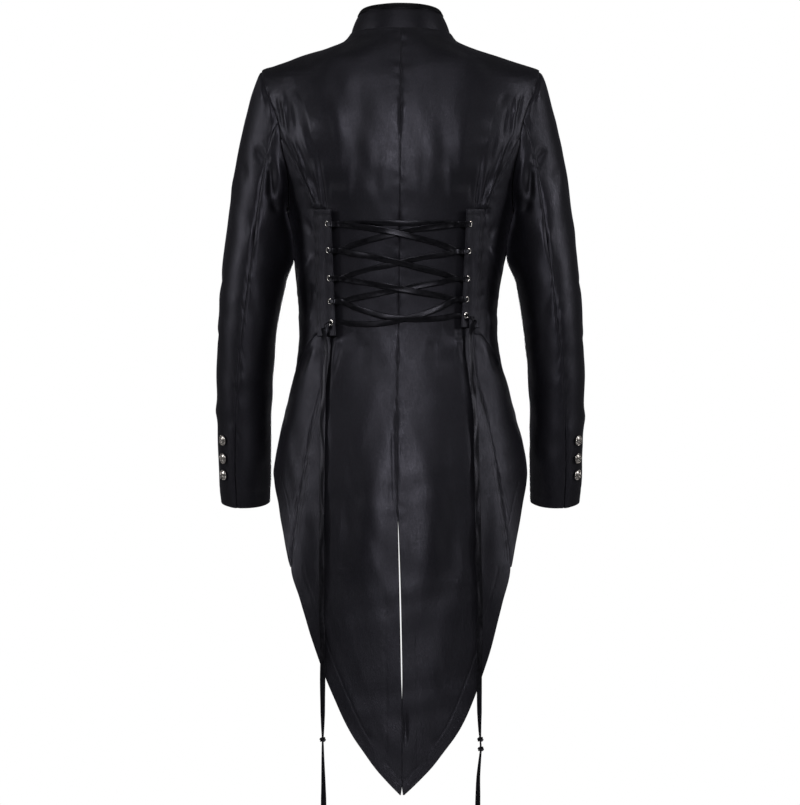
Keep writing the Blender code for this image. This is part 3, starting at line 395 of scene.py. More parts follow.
# Folds listed one by one, as a height along a line from one point to another on one face of
# the coat: across is |x| on the back and front, and y on the side. Height is negative for a
# trough. The last two are the shares of its length over which it rises and fades.
FOLD_COLUMNS = (
    "face", "side", "across_from", "z_from", "across_to", "z_to",
    "height", "half_from", "half_to", "rise", "fade",
)
FOLDS = (
    # Pleats above the straps
    ("back", 0, 0.1177, -0.2500, 0.1627, -0.1430, -0.0016, 0.0016, 0.0034, 0.02, 0.80),
    ("back", 0, 0.1108, -0.2500, 0.1250, -0.1900, -0.0026, 0.0016, 0.0030, 0.02, 0.70),
    ("back", 0, 0.1032, -0.2490, 0.1120, -0.1680, -0.0022, 0.0015, 0.0030, 0.02, 0.80),
    ("back", 1, 0.1216, -0.1900, 0.1400, -0.1240, 0.0012, 0.0035, 0.0060, 0.30, 0.60),
    ("back", -1, 0.1236, -0.1960, 0.1432, -0.1290, 0.0010, 0.0035, 0.0055, 0.30, 0.60),
    ("back", 1, 0.1370, -0.1920, 0.1613, -0.1380, -0.0012, 0.0018, 0.0026, 0.30, 0.40),
    ("back", -1, 0.1352, -0.1980, 0.1600, -0.1360, -0.0011, 0.0018, 0.0028, 0.30, 0.40),
    ("back", 1, 0.1420, -0.1870, 0.1650, -0.1340, 0.0012, 0.0022, 0.0030, 0.30, 0.40),
    ("back", 1, 0.1560, -0.1180, 0.1660, -0.1010, 0.0012, 0.0026, 0.0030, 0.40, 0.50),
    ("back", -1, 0.1540, -0.1220, 0.1650, -0.1040, 0.0010, 0.0026, 0.0030, 0.40, 0.50),
    ("back", 1, 0.1300, -0.1080, 0.1440, -0.0800, -0.0008, 0.0040, 0.0060, 0.50, 0.50),
    ("back", -1, 0.1330, -0.1150, 0.1480, -0.0880, -0.0007, 0.0040, 0.0060, 0.50, 0.50),
    # Fine streaks that fan out above the straps and run down beside the armholes
    ("back", 1, 0.0985, -0.2480, 0.0960, -0.1500, -0.0006, 0.0030, 0.0046, 0.30, 0.60),
    ("back", -1, 0.0975, -0.2480, 0.0930, -0.1600, -0.0006, 0.0030, 0.0047, 0.30, 0.60),
    ("back", 1, 0.0905, -0.2470, 0.0820, -0.1850, -0.0005, 0.0030, 0.0050, 0.30, 0.60),
    ("back", -1, 0.0880, -0.2470, 0.0800, -0.1950, -0.0005, 0.0030, 0.0050, 0.30, 0.60),
    ("back", 1, 0.1130, -0.1650, 0.1290, -0.1100, 0.0015, 0.0020, 0.0032, 0.30, 0.60),
    ("back", -1, 0.1100, -0.1720, 0.1250, -0.1180, 0.0014, 0.0021, 0.0030, 0.30, 0.60),
    ("back", 1, 0.1290, -0.2050, 0.1480, -0.1500, 0.0017, 0.0016, 0.0024, 0.30, 0.50),
    ("back", -1, 0.1270, -0.2110, 0.1450, -0.1560, 0.0016, 0.0017, 0.0023, 0.30, 0.50),
    ("back", 0, 0.1180, -0.2380, 0.1330, -0.1980, 0.0020, 0.0014, 0.0022, 0.10, 0.60),
    ("back", 1, 0.1700, -0.0900, 0.1590, -0.1520, -0.0015, 0.0018, 0.0028, 0.30, 0.50),
    ("back", -1, 0.1690, -0.0860, 0.1570, -0.1440, -0.0015, 0.0018, 0.0028, 0.30, 0.50),
    ("back", 1, 0.1620, -0.0820, 0.1530, -0.1650, 0.0014, 0.0022, 0.0030, 0.30, 0.60),
    ("back", -1, 0.1600, -0.0880, 0.1500, -0.1700, 0.0014, 0.0022, 0.0030, 0.30, 0.60),
    ("back", 1, 0.1490, -0.1020, 0.1400, -0.1500, -0.0011, 0.0020, 0.0030, 0.30, 0.60),
    ("back", -1, 0.1470, -0.1100, 0.1370, -0.1620, -0.0011, 0.0020, 0.0030, 0.30, 0.60),
    ("back", 1, 0.0730, -0.2440, 0.0650, -0.1700, 0.0009, 0.0040, 0.0070, 0.20, 0.60),
    ("back", -1, 0.0700, -0.2440, 0.0630, -0.1620, 0.0009, 0.0040, 0.0070, 0.20, 0.60),
    ("back", 1, 0.0330, -0.2500, 0.0300, -0.1500, -0.0006, 0.0050, 0.0080, 0.30, 0.60),
    ("back", -1, 0.0290, -0.2480, 0.0330, -0.1380, -0.0006, 0.0050, 0.0080, 0.30, 0.60),
    # Drag lines beside the straps and at the waist
    ("back", 1, 0.1200, -0.2860, 0.1380, -0.2560, -0.0016, 0.0030, 0.0060, 0.20, 0.60),
    ("back", -1, 0.1190, -0.2900, 0.1400, -0.2640, -0.0014, 0.0030, 0.0060, 0.20, 0.60),
    ("back", 1, 0.1210, -0.3120, 0.1350, -0.3380, 0.0014, 0.0040, 0.0060, 0.20, 0.60),
    ("back", -1, 0.1200, -0.3020, 0.1360, -0.3260, 0.0014, 0.0040, 0.0060, 0.20, 0.60),
    ("back", 1, 0.1190, -0.3480, 0.1330, -0.3960, -0.0013, 0.0035, 0.0060, 0.20, 0.70),
    ("back", -1, 0.1170, -0.3420, 0.1330, -0.3820, -0.0013, 0.0035, 0.0060, 0.20, 0.70),
    ("back", 1, 0.1180, -0.3870, 0.1290, -0.4130, 0.0012, 0.0040, 0.0050, 0.30, 0.50),
    ("back", -1, 0.1160, -0.3850, 0.1300, -0.4180, 0.0011, 0.0040, 0.0050, 0.30, 0.50),
    ("back", 1, 0.0823, -0.4290, 0.0973, -0.4960, -0.0018, 0.0030, 0.0060, 0.20, 0.60),
    ("back", -1, 0.0800, -0.4220, 0.0935, -0.4850, -0.0016, 0.0030, 0.0060, 0.20, 0.60),
    ("back", 1, 0.0740, -0.4330, 0.0800, -0.5100, 0.0012, 0.0050, 0.0090, 0.20, 0.70),
    ("back", -1, 0.0700, -0.4290, 0.0770, -0.5000, 0.0012, 0.0050, 0.0090, 0.20, 0.70),
    ("back", 1, 0.0480, -0.4280, 0.0530, -0.4900, -0.0009, 0.0060, 0.0120, 0.20, 0.80),
    ("back", -1, 0.0430, -0.4270, 0.0500, -0.4980, -0.0009, 0.0060, 0.0120, 0.20, 0.80),
    ("back", 1, 0.1140, -0.4330, 0.1380, -0.5050, 0.0016, 0.0050, 0.0080, 0.20, 0.70),
    ("back", -1, 0.1120, -0.4300, 0.1360, -0.4980, 0.0015, 0.0050, 0.0080, 0.20, 0.70),
    ("back", 1, 0.1260, -0.4420, 0.1500, -0.5000, -0.0014, 0.0045, 0.0070, 0.20, 0.70),
    ("back", -1, 0.1240, -0.4400, 0.1480, -0.4960, -0.0013, 0.0045, 0.0070, 0.20, 0.70),
    # The upper back and the hang of the tails
    ("back", 1, 0.0520, -0.0500, 0.0600, -0.2300, -0.0009, 0.0140, 0.0100, 0.40, 0.40),
    ("back", -1, 0.0540, -0.0540, 0.0590, -0.2350, -0.0009, 0.0140, 0.0100, 0.40, 0.40),
    ("back", 1, 0.0860, -0.0900, 0.0800, -0.2350, 0.0010, 0.0140, 0.0080, 0.40, 0.30),
    ("back", -1, 0.0880, -0.0960, 0.0780, -0.2300, 0.0010, 0.0140, 0.0080, 0.40, 0.30),
    ("back", 1, 0.0300, -0.5600, 0.0340, -0.8600, 0.0016, 0.0180, 0.0240, 0.40, 0.40),
    ("back", -1, 0.0330, -0.5500, 0.0300, -0.8400, 0.0014, 0.0180, 0.0240, 0.40, 0.40),
    ("back", 1, 0.0680, -0.5000, 0.0760, -0.8300, -0.0018, 0.0160, 0.0220, 0.40, 0.40),
    ("back", -1, 0.0660, -0.5100, 0.0720, -0.8200, -0.0017, 0.0160, 0.0220, 0.40, 0.40),
    ("back", 1, 0.1250, -0.6100, 0.1060, -0.8200, -0.0014, 0.0100, 0.0140, 0.40, 0.50),
    ("back", -1, 0.1230, -0.6000, 0.1080, -0.8000, -0.0014, 0.0100, 0.0140, 0.40, 0.50),
    ("back", 1, 0.0900, -0.7460, 0.0690, -0.7440, 0.0006, 0.0016, 0.0020, 0.50, 0.50),
    ("back", -1, 0.0720, -0.7600, 0.0890, -0.7570, 0.0006, 0.0016, 0.0020, 0.50, 0.50),
    ("back", -1, 0.0060, -0.9250, 0.0070, -0.9850, -0.0016, 0.0030, 0.0030, 0.40, 0.50),
    # The stitched box at the top of the vent
    ("back", 1, 0.0140, -0.5570, -0.0020, -0.5570, -0.0008, 0.0008, 0.0008, 0.02, 0.02),
    ("back", 1, 0.0132, -0.5570, 0.0120, -0.6560, -0.0007, 0.0009, 0.0009, 0.01, 0.10),
    ("back", -1, 0.0014, -0.5570, 0.0006, -0.6050, -0.0005, 0.0008, 0.0008, 0.01, 0.40),
    # Sleeve heads and the folds behind the arms
    ("back", 0, 0.2030, -0.1600, 0.1800, -0.1900, -0.0034, 0.0040, 0.0050, 0.40, 0.30),
    ("back", 0, 0.1795, -0.1860, 0.1765, -0.2450, -0.0042, 0.0050, 0.0060, 0.30, 0.40),
    ("back", 0, 0.1770, -0.2380, 0.1670, -0.2560, -0.0030, 0.0050, 0.0060, 0.30, 0.40),
    ("back", 0, 0.1700, -0.1700, 0.1625, -0.2350, 0.0022, 0.0040, 0.0060, 0.40, 0.40),
    ("back", 0, 0.1905, -0.0740, 0.1905, -0.1080, 0.0014, 0.0032, 0.0040, 0.30, 0.60),
    ("back", 0, 0.1850, -0.0780, 0.1820, -0.1240, -0.0012, 0.0028, 0.0040, 0.30, 0.60),
    ("back", 0, 0.1815, -0.0820, 0.1770, -0.1330, 0.0013, 0.0030, 0.0040, 0.30, 0.60),
    ("back", 1, 0.2200, -0.1800, 0.2140, -0.2150, -0.0018, 0.0060, 0.0080, 0.50, 0.50),
    ("back", -1, 0.2180, -0.1860, 0.2110, -0.2200, -0.0018, 0.0060, 0.0080, 0.50, 0.50),
    ("back", 1, 0.1900, -0.2520, 0.2130, -0.3200, 0.0016, 0.0070, 0.0110, 0.40, 0.50),
    ("back", -1, 0.1920, -0.2600, 0.2100, -0.3300, 0.0015, 0.0070, 0.0110, 0.40, 0.50),
    ("back", 1, 0.2080, -0.3400, 0.1960, -0.4200, -0.0012, 0.0060, 0.0090, 0.40, 0.50),
    ("back", -1, 0.2060, -0.3500, 0.1940, -0.4250, -0.0012, 0.0060, 0.0090, 0.40, 0.50),
    ("back", 1, 0.2300, -0.4700, 0.2100, -0.5000, 0.0009, 0.0050, 0.0070, 0.40, 0.50),
    ("back", -1, 0.2280, -0.4760, 0.2080, -0.5020, 0.0009, 0.0050, 0.0070, 0.40, 0.50),
    # The front: drag lines from the bust, the waist and the armholes
    ("front", 1, 0.1050, -0.2900, 0.1420, -0.2400, -0.0016, 0.0050, 0.0080, 0.40, 0.50),
    ("front", -1, 0.1080, -0.2960, 0.1400, -0.2500, -0.0015, 0.0050, 0.0080, 0.40, 0.50),
    ("front", 1, 0.1000, -0.3180, 0.1300, -0.2860, 0.0013, 0.0060, 0.0080, 0.40, 0.50),
    ("front", -1, 0.0960, -0.3200, 0.1320, -0.2930, 0.0013, 0.0060, 0.0080, 0.40, 0.50),
    ("front", 1, 0.0250, -0.3560, 0.0800, -0.3920, -0.0012, 0.0040, 0.0080, 0.30, 0.60),
    ("front", -1, 0.0240, -0.3620, 0.0760, -0.3960, -0.0012, 0.0040, 0.0080, 0.30, 0.60),
    ("front", 1, 0.0260, -0.4240, 0.0900, -0.4060, -0.0013, 0.0040, 0.0080, 0.30, 0.60),
    ("front", -1, 0.0250, -0.4260, 0.0860, -0.4120, -0.0012, 0.0040, 0.0080, 0.30, 0.60),
    ("front", 1, 0.0700, -0.4320, 0.1180, -0.4120, 0.0014, 0.0060, 0.0090, 0.40, 0.50),
    ("front", -1, 0.0680, -0.4360, 0.1160, -0.4180, 0.0013, 0.0060, 0.0090, 0.40, 0.50),
    ("front", 1, 0.0980, -0.1150, 0.1280, -0.1850, -0.0014, 0.0060, 0.0080, 0.40, 0.50),
    ("front", -1, 0.1000, -0.1220, 0.1300, -0.1900, -0.0013, 0.0060, 0.0080, 0.40, 0.50),
    ("front", 1, 0.0560, -0.1000, 0.0700, -0.1900, 0.0012, 0.0100, 0.0140, 0.50, 0.50),
    ("front", -1, 0.0600, -0.1060, 0.0680, -0.1960, 0.0012, 0.0100, 0.0140, 0.50, 0.50),
    ("front", 1, 0.0240, -0.2450, 0.0520, -0.2560, -0.0010, 0.0040, 0.0070, 0.30, 0.60),
    ("front", -1, 0.0230, -0.2500, 0.0500, -0.2600, -0.0010, 0.0040, 0.0070, 0.30, 0.60),
    # Inside of the elbows
    ("front", 1, 0.1780, -0.3950, 0.2280, -0.3800, -0.0030, 0.0050, 0.0070, 0.30, 0.60),
    ("front", -1, 0.1800, -0.4000, 0.2260, -0.3860, -0.0028, 0.0050, 0.0070, 0.30, 0.60),
    ("front", 1, 0.1800, -0.4220, 0.2320, -0.4140, -0.0034, 0.0050, 0.0080, 0.30, 0.60),
    ("front", -1, 0.1790, -0.4260, 0.2300, -0.4190, -0.0032, 0.0050, 0.0080, 0.30, 0.60),
    ("front", 1, 0.1820, -0.4560, 0.2260, -0.4700, -0.0026, 0.0050, 0.0080, 0.30, 0.60),
    ("front", -1, 0.1830, -0.4520, 0.2280, -0.4680, -0.0024, 0.0050, 0.0080, 0.30, 0.60),
    ("front", 0, 0.1840, -0.4080, 0.2300, -0.3960, 0.0022, 0.0060, 0.0080, 0.30, 0.60),
    ("front", 0, 0.1840, -0.4390, 0.2300, -0.4410, 0.0022, 0.0060, 0.0080, 0.30, 0.60),
    ("front", 1, 0.1680, -0.2700, 0.1960, -0.2200, -0.0030, 0.0060, 0.0090, 0.40, 0.50),
    ("front", -1, 0.1690, -0.2760, 0.1940, -0.2260, -0.0028, 0.0060, 0.0090, 0.40, 0.50),
    ("front", 1, 0.1800, -0.3000, 0.2200, -0.2400, 0.0020, 0.0080, 0.0120, 0.40, 0.50),
    ("front", -1, 0.1810, -0.3060, 0.2180, -0.2460, 0.0019, 0.0080, 0.0120, 0.40, 0.50),
    # The outside of the sleeves and the sides of the body
    ("side", 1, 0.0300, -0.3300, -0.0200, -0.3640, -0.0014, 0.0060, 0.0100, 0.50, 0.50),
    ("side", -1, 0.0280, -0.3360, -0.0220, -0.3700, -0.0013, 0.0060, 0.0100, 0.50, 0.50),
    ("side", 1, 0.0260, -0.4160, -0.0260, -0.4340, -0.0016, 0.0060, 0.0090, 0.50, 0.50),
    ("side", -1, 0.0240, -0.4220, -0.0280, -0.4380, -0.0015, 0.0060, 0.0090, 0.50, 0.50),
    ("side", 1, 0.0160, -0.5160, -0.0380, -0.5400, 0.0011, 0.0070, 0.0100, 0.50, 0.50),
    ("side", -1, 0.0180, -0.5200, -0.0400, -0.5480, 0.0011, 0.0070, 0.0100, 0.50, 0.50),
    ("side", 1, 0.0220, -0.1500, 0.0080, -0.2400, 0.0012, 0.0090, 0.0120, 0.50, 0.50),
    ("side", -1, 0.0200, -0.1560, 0.0060, -0.2460, 0.0012, 0.0090, 0.0120, 0.50, 0.50),
)
FOLD_SHARE = 1.35
FOLD_FACING = (0.05, 0.45)
FACES = {"back": (0, 1, 1), "front": (0, 1, -1), "side": (1, 0, 1)}

# Under the straps the cloth lies flat, so that they rest on it.
STRAP_REST = {"x": (0.079, 0.120), "z": (-0.4270, -0.2500), "soft": 0.0050}

# Stitches: a row's spacing, a stitch's length and the thread's radius.
STITCH = {"pitch": 0.0030, "length": 0.0022, "radius": 0.00022}
STITCH_CORNERS = 6
# Its rings: place along the stitch, size, and height off the cloth in radii.
STITCH_RINGS = ((-0.5, 0.25, -0.8), (-0.3, 1.0, 0.35), (0.3, 1.0, 0.35), (0.5, 0.25, -0.8))
STITCH_SUNK = 0.0002
# The rows of stitches: between which heights or shares they run.
TAIL_ROWS = {"z": (-0.428, -0.732), "inward": (0.0032, 0.0068)}
ELBOW_ROW_TOP = -0.30
ELBOW_ROW_COLUMN = 3 - len(EDGE_STEPS)
STRAP_ROWS = {"down": (0.012, 0.988), "across": (0.2, 0.96)}
# The box that closes the vent: x and z of the ends of each of its two rows.
VENT_ROWS = (
    ((-0.0014, 0.0136), (-0.557, -0.557), 12),
    ((0.0128, 0.0118), (-0.560, -0.655), 40),
)

# Finishes: stops along each colour ramp, and for the metals how rough and how pitted.
# The velvet's ramp runs over its random nap tone, with painted shade in the folds' troughs and
# painted light on their crests.
VELVET_STOPS = (
    (0.0, (0.0016, 0.0015, 0.0021)),
    (0.55, (0.0042, 0.0040, 0.0056)),
    (1.0, (0.0100, 0.0095, 0.0128)),
)
WRONG_SIDE_STOPS = ((0.0, (0.0026, 0.0026, 0.0032)), (1.0, (0.0064, 0.0064, 0.0078)))
SATIN_STOPS = ((0.0, (0.0012, 0.0012, 0.0016)), (1.0, (0.0045, 0.0044, 0.0056)))
THREAD_STOPS = ((0.3, (0.0020, 0.0020, 0.0025)), (0.7, (0.0070, 0.0070, 0.0080)))
METALS = {
    "nickel_eyelets": {
        "light": (0.80, 0.77, 0.74), "dark": (0.50, 0.47, 0.45),
        "roughness": (0.16, 0.30), "pits": 0.05,
    },
    "antique_silver": {
        "light": (0.74, 0.70, 0.66), "dark": (0.20, 0.18, 0.17),
        "roughness": (0.22, 0.42), "pits": 0.15,
    },
}

# Camera, as the photograph was taken
CAMERA_PLACE = (0.0007, 3.6, -0.516)
CAMERA_LENS = 115.71
CAMERA_SENSOR = 36.0


def column_of(table, columns, name):
    place = columns.index(name)
    return np.array([row[place] for row in table], float)


def lookup(table, columns, column, at):
    """A smooth curve through one column of a table whose first column falls or rises steadily."""
    keys = column_of(table, columns, columns[0])
    values = column_of(table, columns, column)
    if keys[0] > keys[-1]:
        keys, values = keys[::-1], values[::-1]
    spans = np.diff(keys)
    slopes = np.diff(values) / spans
    before, after = slopes[:-1], slopes[1:]
    level = before * after > 0
    tangents = np.zeros(len(keys))
    tangents[0], tangents[-1] = slopes[0], slopes[-1]
    tangents[1:-1][level] = 2 * before[level] * after[level] / (before[level] + after[level])
    at = np.clip(np.asarray(at, float), keys[0], keys[-1])
    i = np.clip(np.searchsorted(keys, at, side="right") - 1, 0, len(keys) - 2)
    t = (at - keys[i]) / spans[i]
    leave, arrive = spans[i] * tangents[i], spans[i] * tangents[i + 1]
    return hermite(values[i], leave, values[i + 1], arrive, t)


def form(column, level):
    return lookup(FORM, FORM_COLUMNS, column, level)


def ease(value, start, end):
    t = np.clip((value - start) / (end - start), 0, 1)
    return t * t * (3 - 2 * t)


def mix(a, b, t):
    return a + (b - a) * t


def hermite(start, leave, end, arrive, t):
    """A smooth way between two values, with the slopes that it leaves and arrives with."""
    return (
        start * (2 * t**3 - 3 * t**2 + 1)
        + leave * (t**3 - 2 * t**2 + t)
        + end * (-2 * t**3 + 3 * t**2)
        + arrive * (t**3 - t**2)
    )


def stacked(x, y, z):
    return np.stack(np.broadcast_arrays(x, y, z), axis=-1)


def unit(vectors):
    return vectors / np.linalg.norm(vectors, axis=-1, keepdims=True)


def bell(distance, half):
    return np.exp(-((distance / half) ** 2))


def along_path(points):
    """How far along a line of points each of them is."""
    spans = np.linalg.norm(np.diff(points, axis=0), axis=-1)
    return np.concatenate(([0], np.cumsum(spans)))


def interpolated(at, keys, values):
    """Points or directions at places between their keys."""
    return np.stack([np.interp(at, keys, values[:, axis]) for axis in range(3)], -1)


def bare_form(angle, level, side):
    """The body form, with its turn over the shoulders rounded off away from the arms."""
    level = np.asarray(level, float)
    near = ease(-level, 0, SOFT_SHOULDER["from"]) * (1 - ease(-level, *SOFT_SHOULDER["fades"]))
    step = SOFT_SHOULDER["step"] * near * ease(np.abs(np.cos(angle)), 0.02, 0.7)
    if not np.any(step > 0):
        return form_section(angle, level, side)
    weights = SOFT_SHOULDER["weights"]
    middle = len(weights) // 2
    total = 0
    for k, weight in enumerate(weights):
        total = total + weight * form_section(angle, level + (k - middle) * step, side)
    return total / sum(weights)


def form_section(angle, level, side):
    """The form by its table: angle 0 is the centre back, 90 degrees the side, 180 the front."""
    x = form("half_width", level) * np.sin(angle)
    depth = np.where(np.cos(angle) >= 0, form("back", level), form("front", level))
    y = depth * np.cos(angle)
    forward = ease(-np.cos(angle), 0, 1)
    z = level - lookup(THROAT, THROAT_COLUMNS, "drop", level) * forward
    return stacked(side * x + form("sway", level), y, z)


def form_normal(angle, level, side):
    step = 0.002
    around = bare_form(angle + step, level, side) - bare_form(angle - step, level, side)
    down = bare_form(angle, level - step, side) - bare_form(angle, level + step, side)
    return unit(np.cross(around, down) * side)


def bust_height(points):
    across = np.maximum(np.abs(points[..., 0]), BUST["bridge"])
    away = np.hypot(across - BUST["x"], points[..., 2] - BUST["z"])
    height = BUST["height"] * bell(away, BUST["radius"])
    return np.where(points[..., 1] > 0, 0.0, height)


def pleat_height(x, level):
    """Rolls of cloth that stand up between two troughs and fade towards their top."""
    height = np.zeros(np.broadcast(x, level).shape)
    for row in PLEATS:
        pleat = dict(zip(PLEAT_COLUMNS, row))
        run = (level - pleat["foot_level"]) / (pleat["top_level"] - pleat["foot_level"])
        inside = (run >= 0) & (run <= 1)
        run = np.clip(run, 0, 1)
        centre = mix(pleat["foot_x"], pleat["top_x"], run)
        half = mix(pleat["foot_half"], pleat["top_half"], run)
        fades = (1 - run) ** PLEAT_FADE
        height = height + inside * pleat["height"] * fades * bell(x - centre, half)
    return height


def on_form(angle, level, side, lift=0.0):
    angle, level, lift = (np.asarray(value, float) for value in (angle, level, lift))
    point = bare_form(angle, level, side)
    pleats = pleat_height(form("half_width", level) * np.sin(angle), level)
    raised = lift + bust_height(point) + np.where(np.cos(angle) > 0, pleats, 0.0)
    return point + form_normal(angle, level, side) * raised[..., None]


def angle_at(x, level, side):
    """The angle at which the form stands at a given distance x, on the back."""
    share = side * (x - form("sway", level)) / form("half_width", level)
    return np.arcsin(np.clip(share, -1, 1))


def princess_angle(level):
    x = lookup(BACK_EDGE, BACK_EDGE_COLUMNS, "x", level)
    return np.arcsin(np.minimum(1, x / form("half_width", level)))


def waist_z(angle):
    return lookup(WAIST_SEAM, WAIST_COLUMNS, "z", np.degrees(angle))


def armhole_place(turn):
    """Level and angle of the armhole, turning from the shoulder tip over the back."""
    middle = (ARMHOLE_TOP + ARMHOLE_FOOT) / 2
    half = (ARMHOLE_TOP - ARMHOLE_FOOT) / 2
    reach = np.where(np.sin(turn) >= 0, ARMHOLE_BACK, ARMHOLE_FRONT)
    return middle + half * np.cos(turn), SIDE - reach * np.sin(turn)


def graded(length, grid=GRID, steps=EDGE_STEPS):
    """Shares from 0 to 1 along a length, close together at both ends."""
    ends = np.array(steps[:-1])
    count = max(3, round((length - 2 * steps[-1]) / grid) + 1)
    middle = np.linspace(steps[-1], length - steps[-1], count)
    return np.concatenate((ends, middle, length - ends[::-1])) / length


def fold_height(points, normals, side):
    """The listed folds, on whichever face of the coat a point lies."""
    height = np.zeros(points.shape[:-1])
    for row in FOLDS:
        fold = dict(zip(FOLD_COLUMNS, row))
        if fold["side"] not in (0, side):
            continue
        across_axis, facing_axis, facing_sign = FACES[fold["face"]]
        across = points[..., across_axis]
        facing = normals[..., facing_axis] * facing_sign
        if across_axis == 0:
            across = across * side
        else:
            facing = facing * side
        start = np.array((fold["across_from"], fold["z_from"]))
        line = np.array((fold["across_to"], fold["z_to"])) - start
        length = np.hypot(*line)
        line = line / length
        from_start = (across - start[0], points[..., 2] - start[1])
        run = (from_start[0] * line[0] + from_start[1] * line[1]) / length
        away = from_start[0] * line[1] - from_start[1] * line[0]
        half = mix(fold["half_from"], fold["half_to"], np.clip(run, 0, 1))
        fades = ease(run, 0, fold["rise"]) * ease(1 - run, 0, fold["fade"])
        height += fold["height"] * fades * bell(away, half) * ease(facing, *FOLD_FACING)
    return height * FOLD_SHARE


def uneven_height(points):
    height = np.zeros(points.shape[:-1])
    for along_x, along_y, along_z, phase, size in UNEVEN:
        waves = points @ np.array((along_x, along_y, along_z), float) + phase
        height += size * np.sin(waves + 1.3 * np.sin(waves * 0.37 + phase))
    return height


def beside_straps(points):
    """0 where a strap rests on the back, 1 away from it."""
    across, z = np.abs(points[..., 0]), points[..., 2]
    soft = STRAP_REST["soft"]
    inside = points[..., 1] > 0
    for value, (low, high) in ((across, STRAP_REST["x"]), (z, STRAP_REST["z"])):
        inside = inside * ease(value, low - soft, low) * ease(-value, -high - soft, -high)
    return 1 - inside


def lengths(points):
    """How far along the cloth each point of a grid is from its first column and first row."""
    across = np.linalg.norm(np.diff(points, axis=1), axis=-1)
    down = np.linalg.norm(np.diff(points, axis=0), axis=-1)
    return (
        np.pad(np.cumsum(across, axis=1), ((0, 0), (1, 0))),
        np.pad(np.cumsum(down, axis=0), ((1, 0), (0, 0))),
    )


def pucker(along, phase):
    (fine, _, fine_size), (wide, wide_phase, wide_size), (slow, slow_phase, slow_size) = PUCKER_WAVES
    turn = 2 * math.pi * along
    waves = fine_size * np.sin(turn / fine + phase)
    waves = waves + wide_size * np.sin(turn / wide + wide_phase + phase)
    return waves * (1 - slow_size * np.sin(turn / slow + slow_phase + phase))


def edge_relief(distance, along, sewn, phase):
    """The dip and puckers beside a seam, or the pressed line above a hem where sewn is 0."""
    dip = -SEAM_DIP["depth"] * bell(distance, SEAM_DIP["half"])
    near = bell(distance, PUCKER["half"]) * ease(distance, 0, PUCKER["clear"])
    pressed = bell(distance - HEM_LINE["from_edge"], HEM_LINE["half"])
    line = -HEM_LINE["depth"] * pressed * (0.7 + 0.3 * pucker(along, phase))
    return sewn * (dip + PUCKER["height"] * near * pucker(along, phase)) + (1 - sewn) * line


def edge_rounding(distance):
    """How much of the cloth's half thickness is rounded away, near an edge."""
    inward = 1 - np.clip(distance / EDGE_ROUND, 0, 1)
    return (1 - np.sqrt(np.maximum(0, 1 - inward**2))) * (1 - EDGE_LEFT)


def nearest_edge(roundings):
    return np.maximum.reduce(list(roundings))


def cloth_wall(name, points, normals, side, sewn, material, extra=0.0):
    """A wall of cloth on a grid of points: folds, seams and hems raise or sink both its faces.

    sewn says for the top, right, bottom and left edge whether it is in a seam: 1, 0, or one
    value for each point of the edge.
    """
    across, down = lengths(points)
    top, right, bottom, left = (np.asarray(value, float) for value in sewn)
    from_right, from_bottom = across[:, -1:] - across, down[-1:] - down
    relief = (fold_height(points, normals, side) + uneven_height(points)) * beside_straps(points)
    edges = (
        (down, across, top, 0.3),
        (from_right, down, right[:, None] if right.ndim else right, 1.9),
        (from_bottom, across, bottom, 3.1),
        (across, down, left[:, None] if left.ndim else left, 4.7),
    )
    for distance, _, is_sewn, _ in edges:
        relief = relief * mix(1, ease(distance, 0, SEAM_CALM), is_sewn)
    for distance, along, is_sewn, phase in edges:
        relief = relief + edge_relief(distance, along, is_sewn, phase + 0.8 * side)
    rounding = nearest_edge(edge_rounding(distance) for distance, _, _, _ in edges)
    hem_rounding = nearest_edge(
        edge_rounding(distance) * (1 - is_sewn) for distance, _, is_sewn, _ in edges
    )
    relief = relief + extra
    half = CLOTH / 2
    outer = points + normals * (relief - rounding * half)[..., None]
    inner = points + normals * (relief - CLOTH + hem_rounding * half)[..., None]
    return shell(name, outer, inner, (across, down), material, relief)


def shell(name, outer, inner, cloth_place, material, relief=None):
    """A closed shell from two grids of points, with its place on the flat cloth as UV."""
    rows, columns = outer.shape[:2]
    count = rows * columns
    points = np.concatenate((outer.reshape(-1, 3), inner.reshape(-1, 3)))
    index = np.arange(count).reshape(rows, columns)
    front = np.stack((index[:-1, :-1], index[1:, :-1], index[1:, 1:], index[:-1, 1:]), -1)
    front = front.reshape(-1, 4)
    loop = np.concatenate((index[0], index[1:, -1], index[-1, -2::-1], index[-2:0:-1, 0]))
    following = np.roll(loop, -1)
    rim = np.stack((loop, following, following + count, loop + count), -1)
    faces = np.concatenate((front, front[:, ::-1] + count, rim))
    corners = points[faces]
    first, second = np.cross(corners[:, 1], corners[:, 2]), np.cross(corners[:, 2], corners[:, 3])
    if np.sum(corners[:, 0] * (first + second)) < 0:
        faces = faces[:, ::-1]
    mesh = bpy.data.meshes.new(name)
    mesh.from_pydata(points.tolist(), [], faces.tolist())
    places = np.stack([np.concatenate((part.ravel(), part.ravel())) for part in cloth_place], -1)
    corner_points = np.empty(len(mesh.loops), np.int32)
    mesh.loops.foreach_get("vertex_index", corner_points)
    uv = mesh.uv_layers.new(name="cloth")
    uv.data.foreach_set("uv", places[corner_points].astype(np.float32).ravel())
    # The relief goes with the mesh, so that the velvet can paint shade into the folds' troughs and
    # light onto their crests.
    if relief is not None:
        relief_for_painted_shade = mesh.attributes.new("relief_for_painted_shade", "FLOAT", "POINT")
        both = np.concatenate((relief.ravel(), relief.ravel())) * 1000
        relief_for_painted_shade.data.foreach_set("value", both.astype(np.float32))
    materials = material if isinstance(material, tuple) else (material,)
    for one in materials:
        mesh.materials.append(one)
    if len(materials) > 1:
        inside = np.zeros(len(faces), np.int32)
        inside[len(front) : 2 * len(front)] = 1
        mesh.polygons.foreach_set("material_index", inside)
    mesh.shade_smooth()
    return linked(name, mesh)


def linked(name, data):
    obj = bpy.data.objects.new(name, data)
    bpy.context.scene.collection.objects.link(obj)
    return obj


